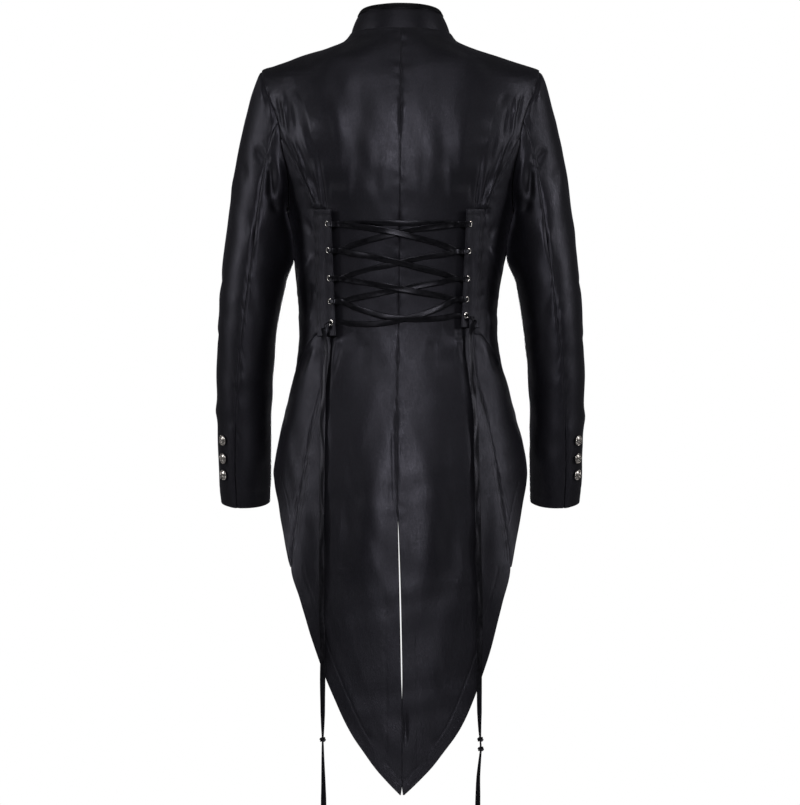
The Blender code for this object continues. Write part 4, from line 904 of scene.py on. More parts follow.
def worn(obj, slot, *nodes):
    """The piece goes with the coat and stands for its solids, which it hides; its slot is not used.
    """
    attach(obj, "root")
    if nodes:
        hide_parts(*nodes)
    return obj


def panel(kind, name, side, points, normals, sewn, extra=0.0):
    """One velvet panel: its wall, the solid that it stands for, and what it was cut to."""
    piece = cloth_wall(f"velvet_{kind}_{name}", points, normals, side, sewn, velvet_pair, extra)
    worn(piece, "velvet", f"{kind}_{name}")


def back_grid(side):
    """The centre back: neck and shoulder seam, armhole, princess seam, then the tail."""
    shoulder = ARMHOLE_TOP * graded(*RUNS["shoulder"])[:-1]
    armhole_levels, armhole_angles = armhole_place(np.radians(np.linspace(0, 90, 46)))
    lower_span = armhole_levels[-1] - TAIL_TIP
    lower = TAIL_TIP + lower_span * graded(lower_span)[::-1]
    lower = lower[lower < armhole_levels[-1] - GRID / 2]
    level = np.concatenate((shoulder, armhole_levels, lower))
    outer = np.concatenate((np.full(len(shoulder), SIDE), armhole_angles, princess_angle(lower)))
    half_gap = lookup(CENTRE_BACK, CENTRE_COLUMNS, "half_gap", level)
    half_gap = CENTRE_DRAWN["share"] * half_gap - CENTRE_DRAWN["closer"]
    centre = lookup(CENTRE_BACK, CENTRE_COLUMNS, "x", level) + side * half_gap
    inner = angle_at(centre, level, side)
    plain, pleated = graded(*RUNS["back_plain"]), graded(*RUNS["back_pleated"])
    plain = plain[plain < 1 - EDGE_STEPS[-1] / RUNS["back_plain"][0]]
    pleated = pleated[pleated > EDGE_STEPS[-1] / RUNS["back_pleated"][0]]
    share = np.concatenate(
        (plain * BACK_PLAIN_SHARE, BACK_PLAIN_SHARE + pleated * (1 - BACK_PLAIN_SHARE))
    )
    angle = mix(inner[:, None], outer[:, None], share[None, :])
    return angle, np.broadcast_to(level[:, None], angle.shape)


def make_back(name, side):
    angle, level = back_grid(side)
    rows = level[:, 0]
    seam = (rows > TAIL_CORNER).astype(float)
    closed = ease(rows, *CENTRE_CLOSED)
    points, normals = on_form(angle, level, side), form_normal(angle, level, side)
    panel("back", name, side, points, normals, (1, seam, 0, closed))


def make_side(name, side):
    """The side back: from the princess seam to the side seam, under the arm."""
    turns = np.radians(np.linspace(90.6, 180, 44))
    arm_level, arm_angle = armhole_place(turns)
    span = ARMHOLE_FOOT - WAIST_START
    below = ARMHOLE_FOOT - span * graded(span)[1:]
    drops = graded(*RUNS["side_waist"])[1:]
    level = np.concatenate((arm_level, below, np.full(len(drops), WAIST_START)))
    drop = np.concatenate((np.zeros(len(arm_level) + len(below)), drops))
    outer = np.full(len(level), SIDE)
    outer[: len(arm_angle)] = arm_angle
    inner = princess_angle(mix(level, WAIST_INNER, drop))
    share = graded(*RUNS["side_across"])
    angle = mix(inner[:, None], outer[:, None], share[None, :])
    levels = mix(level[:, None], waist_z(angle), drop[:, None])
    points, normals = on_form(angle, levels, side), form_normal(angle, levels, side)
    panel("side", name, side, points, normals, (1, 1, 1, 1))


def make_front(name, side):
    """The front: neck, shoulder seam, armhole, side seam and waist, lapping past the centre."""
    shoulder = ARMHOLE_TOP * graded(*RUNS["shoulder"])[:-1]
    turns = -np.radians(np.linspace(0, 180, 72))
    arm_level, arm_angle = armhole_place(turns)
    span = ARMHOLE_FOOT - WAIST_START
    below = ARMHOLE_FOOT - span * graded(span)[1:]
    drops = graded(*RUNS["front_waist"])[1:]
    level = np.concatenate((shoulder, arm_level, below, np.full(len(drops), WAIST_START)))
    drop = np.concatenate((np.zeros(len(level) - len(drops)), drops))
    outer = np.full(len(level), SIDE)
    outer[len(shoulder) : len(shoulder) + len(arm_angle)] = arm_angle
    share = graded(*RUNS["front_across"])
    edge_level = mix(level, waist_z(math.pi), drop)
    lap_angle = math.pi + np.arcsin(LAP / form("half_width", edge_level))
    angle = mix(outer[:, None], lap_angle[:, None], share[None, :])
    levels = mix(level[:, None], waist_z(np.minimum(angle, math.pi)), drop[:, None])
    levels = np.where(angle > math.pi, edge_level[:, None], levels)
    over = (CLOTH + SEAM_GAP) * ease(angle, LAP_START, LAP_FULL) if side < 0 else 0.0
    points, normals = on_form(angle, levels, side), form_normal(angle, levels, side)
    points = points + normals * np.broadcast_to(over, angle.shape)[..., None]
    panel("front", name, side, points, normals, (1, 0, 0, 1))


def make_skirt(name, side):
    """The side of the skirt: waist seam, seam to the tail, and the cut-away edge."""
    row = graded(*RUNS["skirt_down"])[:, None] * SKIRT_LAST_ROW
    share = graded(*RUNS["skirt_across"])[None, :]
    first_angle = princess_angle(np.array(WAIST_INNER))
    waist_angle = mix(first_angle, math.radians(SKIRT[0][2]), share)
    waist_level = waist_z(waist_angle)
    seam_level = lookup(SKIRT, SKIRT_COLUMNS, "seam_level", row)
    edge_angle = np.radians(lookup(SKIRT, SKIRT_COLUMNS, "edge_angle", row))
    edge_level = lookup(SKIRT, SKIRT_COLUMNS, "edge_level", row)
    low_angle = mix(princess_angle(seam_level), edge_angle, share)
    low_level = mix(seam_level, edge_level, share)
    blend = ease(row, 0, SKIRT_BLEND)
    start_shift = mix(seam_level - SKIRT[0][1], edge_level - SKIRT[0][3], share)
    high_angle = waist_angle + (low_angle - mix(first_angle, edge_angle[0], share))
    angle = mix(high_angle, low_angle, blend)
    level = mix(waist_level + start_shift, low_level, blend)
    points, normals = on_form(angle, level, side), form_normal(angle, level, side)
    panel("skirt", name, side, points, normals, (1, 0, 0, 1))


def tube_point(turn, z, side):
    section = {name: lookup(SLEEVE, SLEEVE_COLUMNS, name, z) for name in SLEEVE_COLUMNS[1:]}
    turn = turn + np.radians(section["twist"])
    across = section["half_x"] * np.cos(turn)
    deep = section["half_y"] * np.sin(turn)
    x = section["centre_x"] + across
    return stacked(side * x, section["centre_y"] + deep, z - section["tilt"] * deep)


def armhole_point(turn, side):
    """A point of the armhole, on the panels' edges, and the way out from it."""
    level, angle = armhole_place(turn)
    return on_form(angle, level, side), form_normal(angle, level, side)


def resting_on_side(points, turn, side):
    """Under the arm the sleeve lies against the body, and comes away from it lower down."""
    z = points[..., 2]
    gap = side * points[..., 0] - form("half_width", z) - PIT_REST["clear"]
    near = ease(-z, *PIT_REST["starts"]) * (1 - ease(-z, *PIT_REST["ends"]))
    moved = points.copy()
    moved[..., 0] -= side * np.maximum(0, gap) * near * np.maximum(0, -np.cos(turn)) ** 4
    return moved


def sleeve_grid(side, first, last):
    """Points and normals of one piece of the sleeve, from the armhole to the cuff."""
    around = SLEEVE_RUN["radius"] * abs(last - first)
    turn = mix(first, last, graded(around, SLEEVE_RUN["grid"]))[None, :]
    cap = graded(*RUNS["sleeve_cap"])
    cap = cap[: -len(EDGE_STEPS)]
    cap = (cap / cap[-1])[:, None]
    upward = ((1 + np.cos(turn)) / 2)[..., None]
    start, normal = armhole_point(np.remainder(turn + math.pi, 2 * math.pi) - math.pi, side)
    end = tube_point(turn, np.array(SLEEVE[0][0]), side)
    mirror = np.array((side, 1, 1))
    leave = mix(np.array(CAP_LEAVE["pit"]), np.array(CAP_LEAVE["tip"]), upward) * mirror
    arrive = mix(np.array(CAP_ARRIVE["pit"]), np.array(CAP_ARRIVE["tip"]), upward) * mirror
    head = hermite(start, leave, end, arrive, cap[..., None])
    drop = SLEEVE[0][0] - SLEEVE[-1][0]
    low = graded(drop)[len(EDGE_STEPS) :]
    z = SLEEVE[0][0] - drop * low[:, None]
    points = np.concatenate((head, tube_point(turn, z, side)))
    points = resting_on_side(points, turn, side)
    down = np.gradient(points, axis=0)
    around = np.gradient(points, axis=1)
    normals = unit(np.cross(around, down) * -side)
    over_shoulder = ease(np.cos(turn), 0.1, 0.6) * np.clip(1 - cap / CAP_FIRST_RING, 0, 1)
    normals[: len(cap)] = unit(mix(normals[: len(cap)], normal, over_shoulder[..., None]))
    return points, normals


def make_sleeve(name, side):
    for kind, first, last in (
        ("sleeve_top", INNER_SEAM - 2 * math.pi, ELBOW_SEAM),
        ("sleeve_under", ELBOW_SEAM, INNER_SEAM),
    ):
        points, normals = sleeve_grid(side, first, last)
        lap = 0.0
        if kind == "sleeve_top":
            across, _ = lengths(points)
            from_seam = across[:, -1:] - across
            in_vent = ease(-points[..., 2], -CUFF_VENT_TOP - 0.006, -CUFF_VENT_TOP + 0.006)
            width = CUFF_VENT_LAP["width"]
            lap = CUFF_VENT_LAP["height"] * in_vent * (1 - ease(from_seam, width * 0.3, width))
        panel(kind, name, side, points, normals, (1, 1, 0, 1), lap)


def collar_point(angle, share, lift=0.0):
    """The stand collar rises from the neck ring and leans in towards its own top ring."""
    foot = bare_form(np.abs(angle), np.zeros(np.shape(angle)), 1)
    sign = np.where(angle < 0, -1, 1)
    ring = foot * stacked(sign, 1, 1)
    foot = ring - np.array((0, 0, COLLAR_SEAM_IN))
    depth = np.where(np.cos(angle) >= 0, COLLAR_TOP["back"], COLLAR_TOP["front"])
    height = mix(COLLAR_HEIGHT["back"], COLLAR_HEIGHT["front"], (1 - np.cos(angle)) / 2)
    top = stacked(
        COLLAR_TOP["half_width"] * np.sin(angle),
        depth * np.cos(angle) - COLLAR_TOP["forward"],
        ring[..., 2] + height,
    )
    out = stacked(np.sin(angle), np.cos(angle), 0 * angle)
    belly = COLLAR_BELLY * np.sin(math.pi * share)
    return mix(foot, top, np.asarray(share)[..., None]) + out * (belly + lift)[..., None], out


def collar_angles():
    """All round the neck, from the right front edge over the back to the left."""
    reach = math.pi - COLLAR_OPENING
    return mix(-reach, reach, graded(*RUNS["collar_around"]))


def make_collar():
    angle = collar_angles()[None, :]
    share = 1 - graded(*RUNS["collar_up"])[:, None]
    angle, share = np.broadcast_arrays(angle, share)
    points, out = collar_point(angle, share)
    below = (BINDING_HEIGHT + COLLAR_GROOVE["below"]) / COLLAR_HEIGHT["back"]
    line = (share - (1 - below)) * COLLAR_HEIGHT["back"]
    groove = -COLLAR_GROOVE["depth"] * bell(line, COLLAR_GROOVE["half"])
    across, down = lengths(points)
    rounding = nearest_edge(map(edge_rounding, (down, across, across[:, -1:] - across)))
    near = bell(down[-1:] - down, COLLAR_WOBBLE["half"])
    wobble = COLLAR_WOBBLE["height"] * pucker(across, COLLAR_WOBBLE["phase"]) * near
    relief = groove + wobble + COLLAR_UNEVEN * uneven_height(points)
    half = CLOTH / 2
    outer = points + out * (relief - rounding * half)[..., None]
    inner = points + out * (relief - CLOTH + rounding * half)[..., None]
    piece = shell("velvet_collar", outer, inner, (across, down), velvet_pair, relief)
    return worn(piece, "velvet", "collar")


def make_binding():
    """A satin strip folded over the collar's top edge, from its outer face to its inner one."""
    angle = collar_angles()
    low = 1 - BINDING_HEIGHT / COLLAR_HEIGHT["back"]
    bend, corner = BINDING_BEND["from"], BINDING_BEND["corner"]
    shares = np.linspace(low, bend, BINDING_BEND["rows"])
    outside = [(share, BINDING_LOOSE) for share in shares]
    inside = [(share, -CLOTH - BINDING_LOOSE) for share in shares[::-1]]
    middle = -CLOTH / 2
    over = [(corner, -0.0001), (BINDING_BEND["top"], middle), (corner, -CLOTH + 0.0001)]
    rows_outer, rows_inner = [], []
    for share, lift in [*outside, *over, *inside]:
        way = 1 if lift > middle else -1
        up, sideways = 0.0, way * BINDING_THICKNESS
        if share > bend:
            up = BINDING_THICKNESS / COLLAR_HEIGHT["back"]
            sideways = 0.6 * sideways if share == corner else 0.0
        full = np.full(angle.shape, share)
        rows_inner.append(collar_point(angle, full, np.full(angle.shape, lift))[0])
        rows_outer.append(collar_point(angle, full + up, np.full(angle.shape, lift + sideways))[0])
    outer, inner = np.array(rows_outer), np.array(rows_inner)
    outer = outer + uneven_height(outer)[..., None] * BINDING_BEND["uneven"] * unit(outer - inner)
    piece = shell("satin_collar_binding", outer, inner, lengths(inner), satin)
    return worn(piece, "binding_satin", "collar_binding")


def strap_place(name, share, run):
    """Where on the form a point of a strap lies: share 0 is its sewn edge, 1 its free edge."""
    strap = STRAPS[name]
    level = mix(STRAP_TOP, strap["foot"], run)
    x = mix(mix(*strap["sewn"], run), mix(*strap["edge"], run), share)
    return x, level


def strap_point(name, side, share, run):
    """A point of the strap's outer face, and the way out from it."""
    share, run = np.asarray(share, float), np.asarray(run, float)
    x, level = strap_place(name, share, run)
    angle = angle_at(side * x, level, side)
    under = STRAP_CLEAR + STRAP_LIFT * ease(share, STRAP_SEWN, 1)
    return on_form(angle, level, side, under + STRAP_THICKNESS), form_normal(angle, level, side)


def eyelet_run(name, number):
    """How far down the strap an eyelet sits, as a share of its length."""
    return (EYELET_LEVELS[name][number] - STRAP_TOP) / (STRAPS[name]["foot"] - STRAP_TOP)


def eyelet_frame(name, side, number):
    """The middle of an eyelet's hole on the strap's outer face, its axis, and the way to the edge."""
    run = eyelet_run(name, number)
    width = strap_place(name, 0, run)[0] - strap_place(name, 1, run)[0]
    share = 1 - EYELET_INSET / width
    step = 0.06

    def point(over, down):
        return strap_point(name, side, share + over, run + down)[0]

    to_edge = unit(point(step, 0) - point(-step, 0))
    down = point(0, step) - point(0, -step)
    return point(0, 0), unit(np.cross(down, to_edge)) * side, to_edge


STRAP_STITCH = {"sewn": (0.0016, 0.0052), "top": 0.0075}
STRAP_GRID = {"across": 0.0011, "down": 0.0022}
STRAP_TROUGH = {"depth": 0.00035, "half": 0.0009, "top_half": 0.0010, "starts": (0.0052, 0.0070)}
STRAP_PUCKER = {"height": 0.00022, "half": 0.009, "phase": 2.2}
STRAP_WAVE = {"height": 0.00018, "turns": 210, "bend": 1.2, "bend_turns": 97, "from": 0.5}


def strap_lengths(name):
    strap = STRAPS[name]
    return strap["sewn"][0] - strap["edge"][0], STRAP_TOP - strap["foot"]


def make_strap(name, side):
    """A lacing strap: sewn down along its outer edge, its inner edge free and lifted a little."""
    width, length = strap_lengths(name)
    share = graded(width, STRAP_GRID["across"])[None, :]
    run = graded(length, STRAP_GRID["down"])[:, None]
    share, run = np.broadcast_arrays(share, run)
    points, normals = strap_point(name, side, share, run)
    from_sewn, from_top = share * width, run * length
    relief = np.zeros(points.shape[:-1])
    trough, puckers, wave = STRAP_TROUGH, STRAP_PUCKER, STRAP_WAVE
    for place in STRAP_STITCH["sewn"]:
        relief -= trough["depth"] * bell(from_sewn - place, trough["half"])
    top_row = bell(from_top - STRAP_STITCH["top"], trough["top_half"])
    relief -= trough["depth"] * top_row * ease(from_sewn, *trough["starts"])
    near = bell(from_sewn, puckers["half"])
    relief += puckers["height"] * pucker(from_top, puckers["phase"]) * near
    bent = from_top * wave["turns"] + wave["bend"] * np.sin(from_top * wave["bend_turns"])
    relief += wave["height"] * np.sin(bent) * ease(share, wave["from"], 1)
    across, down = lengths(points)
    distances = (across, across[:, -1:] - across, down, down[-1:] - down)
    rounding = nearest_edge(map(edge_rounding, distances))
    half = STRAP_THICKNESS / 2
    outer = points + normals * (relief - rounding * half)[..., None]
    inner = points + normals * (np.minimum(relief, 0) - STRAP_THICKNESS + rounding * half)[..., None]
    strap = shell(f"velvet_strap_{name}", outer, inner, (across, down), velvet, relief)
    for number in range(len(EYELET_LEVELS[name])):
        centre, axis, _ = eyelet_frame(name, side, number)
        punch(strap, centre, axis)
    return worn(strap, "velvet", f"strap_{name}")


def deselect():
    for obj in bpy.context.selected_objects:
        obj.select_set(False)


def punch(strap, centre, axis):
    """Cuts the hole that an eyelet sits in."""
    deselect()
    bpy.ops.mesh.primitive_cylinder_add(**HOLE_CUTTER)
    cutter = bpy.context.object
    cutter.matrix_world = standing(centre, axis)
    hole = strap.modifiers.new("eyelet_hole", "BOOLEAN")
    hole.operation = "DIFFERENCE"
    hole.object = cutter
    bpy.context.view_layer.objects.active = strap
    bpy.ops.object.modifier_apply(modifier=hole.name)
    bpy.data.objects.remove(cutter)


def joined(name, pieces):
    deselect()
    for piece in pieces:
        piece.select_set(True)
    bpy.context.view_layer.objects.active = pieces[0]
    bpy.ops.object.join()
    pieces[0].name = name
    return pieces[0]


def standing(point, axis):
    """The placing that stands a turned piece on a point, its own Z along the axis."""
    turn = Vector(axis).to_track_quat("Z", "Y").to_matrix().to_4x4()
    return Matrix.Translation(Vector(point)) @ turn


def turned(name, profile, segments, fill="NOTHING"):
    """A piece turned on a lathe: a ring extruded from point to point of radius and height."""
    deselect()
    radius, height = profile[0]
    bpy.ops.mesh.primitive_circle_add(
        vertices=segments, radius=radius, fill_type=fill, location=(0, 0, height)
    )
    obj = bpy.context.object
    obj.name = name
    bpy.ops.object.transform_apply(location=True)
    bpy.ops.object.mode_set(mode="EDIT")
    bpy.ops.mesh.select_all(action="SELECT")
    if fill == "NGON":
        bpy.ops.mesh.region_to_loop()
    for (near, low), (far, high) in zip(profile, profile[1:]):
        bpy.ops.mesh.extrude_edges_move(TRANSFORM_OT_translate={"value": (0, 0, high - low)})
        if far == 0:
            bpy.ops.mesh.merge(type="CENTER")
        else:
            bpy.ops.transform.resize(value=(far / near, far / near, 1), center_override=(0, 0, high))
    bpy.ops.mesh.select_all(action="SELECT")
    bpy.ops.mesh.remove_doubles(threshold=1e-6)
    bpy.ops.mesh.normals_make_consistent(inside=False)
    bpy.ops.object.mode_set(mode="OBJECT")
    obj.data.shade_smooth()
    return obj


def placed_copy(model, name, point, axis, material):
    """A copy with its own mesh, whose place is in the mesh."""
    mesh = model.data.copy()
    mesh.name = name
    mesh.transform(standing(point, axis))
    mesh.materials.clear()
    mesh.materials.append(material)
    return linked(name, mesh)


EYELET_PROFILE = (
    (0.00225, -0.00190),
    (0.00225, 0.00020),
    (0.00245, 0.00080),
    (0.00290, 0.00118),
    (0.00345, 0.00126),
    (0.00400, 0.00108),
    (0.00445, 0.00070),
    (0.00460, 0.00032),
    (0.00440, 0.00022),
    (0.00270, 0.00024),
    (0.00262, -0.00190),
    (0.00225, -0.00190),
)


def make_eyelets():
    model = turned("eyelet_model", EYELET_PROFILE, 40)
    for name, side in SIDES:
        for number in range(len(EYELET_LEVELS[name])):
            centre, axis, _ = eyelet_frame(name, side, number)
            node = f"eyelet_{name}_{number + 1}"
            piece = placed_copy(model, f"metal_{node}", centre, axis, eyelet_metal)
            worn(piece, "eyelet_metal", node)
    bpy.data.objects.remove(model)


# The button's dome from its shank out to the rim and in over the top, as shares of its radius.
BUTTON_PROFILE = (
    (0.30, -0.00120),
    (0.30, 0.00000),
    (0.90, 0.00000),
    (0.98, 0.00030),
    (1.00, 0.00090),
    (0.97, 0.00150),
    (0.90, 0.00178),
    (0.84, 0.00160),
    (0.79, 0.00172),
    (0.70, 0.00225),
    (0.58, 0.00278),
    (0.42, 0.00322),
    (0.24, 0.00350),
    (0.10, 0.00358),
    (0.00, 0.00360),
)
# Its raised pattern: how many, how far out as a share of the radius, height, size and shape.
BUTTON_BEADS = {"count": 34, "out": 0.90, "height": 0.00175, "size": 0.00056, "shape": (1, 1, 0.8)}
BUTTON_PETALS = {
    "count": 8, "out": 0.40, "height": 0.00318, "size": 0.00100, "shape": (1.45, 0.72, 0.55),
}
BUTTON_BOSS = {"size": 0.00115, "height": 0.00345, "shape": (1, 1, 0.65)}


def bead(radius, location, scale, turn=0.0):
    bpy.ops.mesh.primitive_ico_sphere_add(
        subdivisions=2, radius=radius, location=location, rotation=(0, 0, turn), scale=scale
    )
    return bpy.context.object


def button_model():
    """A domed button with a beaded rim and a plain rosette of eight petals."""
    profile = [(share * BUTTON_RADIUS, height) for share, height in BUTTON_PROFILE]
    parts = [turned("button_model", profile, 48, fill="NGON")]
    for ring, start, turns in ((BUTTON_BEADS, 0, 0), (BUTTON_PETALS, 0.5, 1)):
        radius = ring["out"] * BUTTON_RADIUS
        for k in range(ring["count"]):
            turn = 2 * math.pi * (k + start) / ring["count"]
            place = (radius * math.cos(turn), radius * math.sin(turn), ring["height"])
            parts.append(bead(ring["size"], place, ring["shape"], turn * turns))
    boss = BUTTON_BOSS
    parts.append(bead(boss["size"], (0, 0, boss["height"]), boss["shape"]))
    button = joined("button_model", parts)
    button.data.shade_smooth()
    return button


def make_buttons():
    model = button_model()
    lift = BUTTON_LIFT + BUTTON_GAP
    for number, level in enumerate(FRONT_BUTTON_LEVELS, 1):
        normal = form_normal(math.pi, np.array(level), -1)
        point = on_form(math.pi, level, -1, CLOTH + SEAM_GAP) + normal * lift
        node = f"front_button_{number}"
        piece = placed_copy(model, f"metal_{node}", point, normal, button_metal)
        worn(piece, "button_metal", node)
    for name, side in SIDES:
        for number, z in enumerate(CUFF_BUTTON_LEVELS, 1):
            twist = math.radians(lookup(SLEEVE, SLEEVE_COLUMNS, "twist", z))
            turn = CUFF_BUTTON_TURN - twist
            around = tube_point(turn + 0.01, z, side) - tube_point(turn - 0.01, z, side)
            down = tube_point(turn, z - 0.002, side) - tube_point(turn, z + 0.002, side)
            axis = unit(np.cross(around, down)) * -side
            node = f"cuff_button_{name}_{number}"
            point = tube_point(turn, z, side) + axis * lift
            piece = placed_copy(model, f"metal_{node}", point, axis, button_metal)
            worn(piece, "button_metal", node)
    bpy.data.objects.remove(model)


def through_eyelet(name, side, number):
    """Stations from under the strap's free edge, up through the eyelet's hole, to its front."""
    centre, axis, to_edge = eyelet_frame(name, side, number)
    face = EYELET_GAP + EYELET_RISE
    stations = []
    for away, height, width in LACE_HOLE:
        off = height + (face if height > 0 else -STRAP_THICKNESS)
        stations.append((centre + to_edge * away + axis * off, width, UP))
    return stations


def edge_x(name, number):
    return strap_place(name, 1, eyelet_run(name, number))[0]


def over_back(x, z, lift, width, across):
    """A station over the back at a given x and height, its width laid along the cloth."""
    side = 1 if x >= form("sway", z) else -1
    angle = angle_at(x, z, side)
    normal = form_normal(angle, z, side)
    return on_form(angle, z, side, lift), width, across - normal * np.dot(across, normal)


def span_stations(start, end, rise, over, first):
    """Stations of a strand across the back, from over one strap's edge to under the other's."""
    (from_name, from_side, from_number), (to_name, to_side, to_number) = start, end
    z_start = eyelet_frame(from_name, from_side, from_number)[0][2]
    z_end = eyelet_frame(to_name, to_side, to_number)[0][2]
    x_start = from_side * (edge_x(from_name, from_number) - LACE_DEPART)
    x_end = to_side * (edge_x(to_name, to_number) - LACE_ARRIVE)
    clear = LACE_CLEAR_FIRST if first else LACE_CLEAR
    stations = []
    for s in LACE_SHARES:
        x = mix(x_start, x_end, s)
        z = mix(z_start, z_end, s) + rise * 4 * s * (1 - s)
        lift = LACE_LOW + (LACE_HIGH - LACE_LOW) * (1 - ease(s, clear, clear + LACE_DROP))
        if over:
            crossing = ease(s, *LACE_CROSSING["rises"]) * (1 - ease(s, *LACE_CROSSING["falls"]))
            lift = max(lift, LACE_HIGH * crossing)
        slope = (z_end - z_start + rise * 4 * (1 - 2 * s)) / (x_end - x_start)
        stations.append(over_back(x, z, lift, LACE_WIDTH, np.array((-slope, 0, 1))))
    return stations


def strand(first_side):
    """One half of the lace: from the middle of the back down to its last eyelet."""
    names = {side: name for name, side in SIDES}
    side = first_side
    z_top = eyelet_frame(names[side], side, 0)[0][2]
    x_end = side * (edge_x(names[side], 0) - LACE_ARRIVE)
    stations = [over_back(x_end * s, z_top, LACE_LOW, LACE_WIDTH, UP) for s in LACE_TOP_SHARES]
    for number, rise in enumerate(LACE_RISES):
        start = (names[side], side, number)
        end = (names[-side], -side, number + 1)
        over = (number % 2 == 0) == (first_side > 0)
        stations += through_eyelet(*start)
        stations += span_stations(start, end, rise, over, number == 0)
        side = -side
    stations += through_eyelet(names[side], side, len(LACE_RISES))[:LACE_HOLE_OUT]
    return stations


def end_stations(name, side):
    """A free end leaves the last eyelet, turns over the strap's foot and hangs down."""
    centre, axis, _ = eyelet_frame(name, side, len(LACE_RISES))
    out = EYELET_GAP + EYELET_RISE + LACE_HOLE[LACE_HOLE_OUT - 1][1] + SEAM_GAP
    stations = [(centre + axis * (out + more), LACE_IN_HOLE, UP) for more in (0, LACE_OUT_STEP)]
    for row in LACE_ENDS[name]:
        place = dict(zip(LACE_END_COLUMNS, row))
        x = side * place["x"]
        turn = math.radians(place["turn"])
        across = np.array((math.cos(turn) * side, 0, math.sin(turn)))
        middle, width, across = over_back(x, place["z"], place["lift"], place["width"], across)
        if place["z"] < LACE_HANG:
            middle = np.array((x, middle[1], place["z"]))
        stations.append((middle, width, across))
    return stations


RIBBON_STEP = 0.0016
RIBBON_CORNERS = 5
RIBBON_CUP = 0.00045
RIBBON_LEAN = 0.20
KNOT = {"size": 0.00118, "high": 0.8, "deep": 1.5, "width": 0.0026}


def along_spline(points, step):
    """Points along a smooth curve through the given ones, with the share each has of its stretch."""
    spans = np.linalg.norm(np.diff(points, axis=0), axis=-1)
    tangents = np.empty_like(points)
    slopes = np.diff(points, axis=0) / spans[:, None]
    weight = (spans[:-1] / (spans[:-1] + spans[1:]))[:, None]
    tangents[1:-1] = mix(slopes[:-1], slopes[1:], weight)
    tangents[0], tangents[-1] = slopes[0], slopes[-1]
    made, shares = [], []
    for k, span in enumerate(spans):
        count = max(1, round(span / step))
        leave, arrive = tangents[k] * span, tangents[k + 1] * span
        for j in range(count):
            t = j / count
            made.append(hermite(points[k], leave, points[k + 1], arrive, t))
            shares.append(k + t)
    made.append(points[-1])
    shares.append(len(points) - 1)
    return np.array(made), np.array(shares)


def ribbon(name, stations, cup=RIBBON_CUP):
    """A satin ribbon through its stations, cupped a little across its width."""
    middles = np.array([station[0] for station in stations], float)
    widths = np.array([station[1] for station in stations], float)
    ways = unit(np.array([station[2] for station in stations], float))
    middles, shares = along_spline(middles, RIBBON_STEP)
    keys = np.arange(len(widths))
    widths = np.interp(shares, keys, widths)
    ways = interpolated(shares, keys, ways)
    along = unit(np.gradient(middles, axis=0))
    ways = unit(ways - along * np.sum(ways * along, axis=-1, keepdims=True))
    thick = unit(np.cross(along, ways))
    travelled = along_path(middles)
    lean = RIBBON_LEAN * (np.minimum(1, widths / LACE_WIDTH) ** 4)
    lean = (lean * (np.sin(travelled * 71 + 0.6) + 0.6 * np.sin(travelled * 29)))[:, None]
    ways, thick = unit(ways + thick * lean), unit(thick - ways * lean)
    across = np.linspace(-1, 1, 2 * RIBBON_CORNERS + 1)
    bow = cup * (1 + 0.5 * np.sin(travelled * 83)) * (widths / LACE_WIDTH) ** 2
    place = ways[:, None] * (across[None, :] * LACE_SPREAD * widths[:, None] / 2)[..., None]
    lift = (bow[:, None] * (0.35 - across[None, :] ** 2))[..., None] * thick[:, None]
    half = LACE_THICKNESS / 2 * np.sqrt(np.maximum(0.04, 1 - np.abs(across) ** 6))
    half = half * np.where(np.abs(across) > 0.72, 1.0, 0.82)
    middle = middles[:, None] + place + lift
    outer = middle + thick[:, None] * half[None, :, None]
    inner = middle - thick[:, None] * half[None, :, None]
    cloth_place = (
        np.broadcast_to(across[None, :], outer.shape[:2]) * (LACE_WIDTH / 2),
        np.broadcast_to(travelled[:, None], outer.shape[:2]),
    )
    return shell(name, outer, inner, cloth_place, satin), middles


def knot(name, centre):
    """The ribbon tied on itself, pulled tight."""
    turn = np.linspace(0, 2 * math.pi, 72)
    x = np.sin(turn) + 2 * np.sin(2 * turn)
    y = np.cos(turn) - 2 * np.cos(2 * turn)
    z = -np.sin(3 * turn)
    path = stacked(x, y * KNOT["high"], z * KNOT["deep"]) * KNOT["size"] + centre
    way = stacked(0.3 * np.cos(turn), 0.3 * np.sin(turn), np.ones(turn.shape))
    stations = [(path[k], KNOT["width"], way[k]) for k in range(len(turn))]
    return ribbon(name, stations, 0.0)[0]


def make_lace_ends():
    """The two free ends, which hang from the lowest eyelets to below the tails' tips."""
    for name, side in SIDES:
        stations = end_stations(name, side)
        piece, middles = ribbon(f"satin_lace_end_{name}", stations)
        worn(piece, "lace_satin", f"lace_end_{name}")
        for number, z in enumerate(LACE_KNOTS[name], 1):
            nearest = middles[np.argmin(np.abs(middles[:, 2] - z))]
            node = f"lace_knot_{name}_{number}"
            worn(knot(f"tied_{node}", nearest), "lace_satin", node)


def make_lace():
    """The lace itself, held in the eyelets from strap to strap."""
    left, right = strand(1), strand(-1)
    piece, _ = ribbon("satin_lace", [*left[::-1], *right[1:]])
    worn(piece, "lace_satin", "lace")


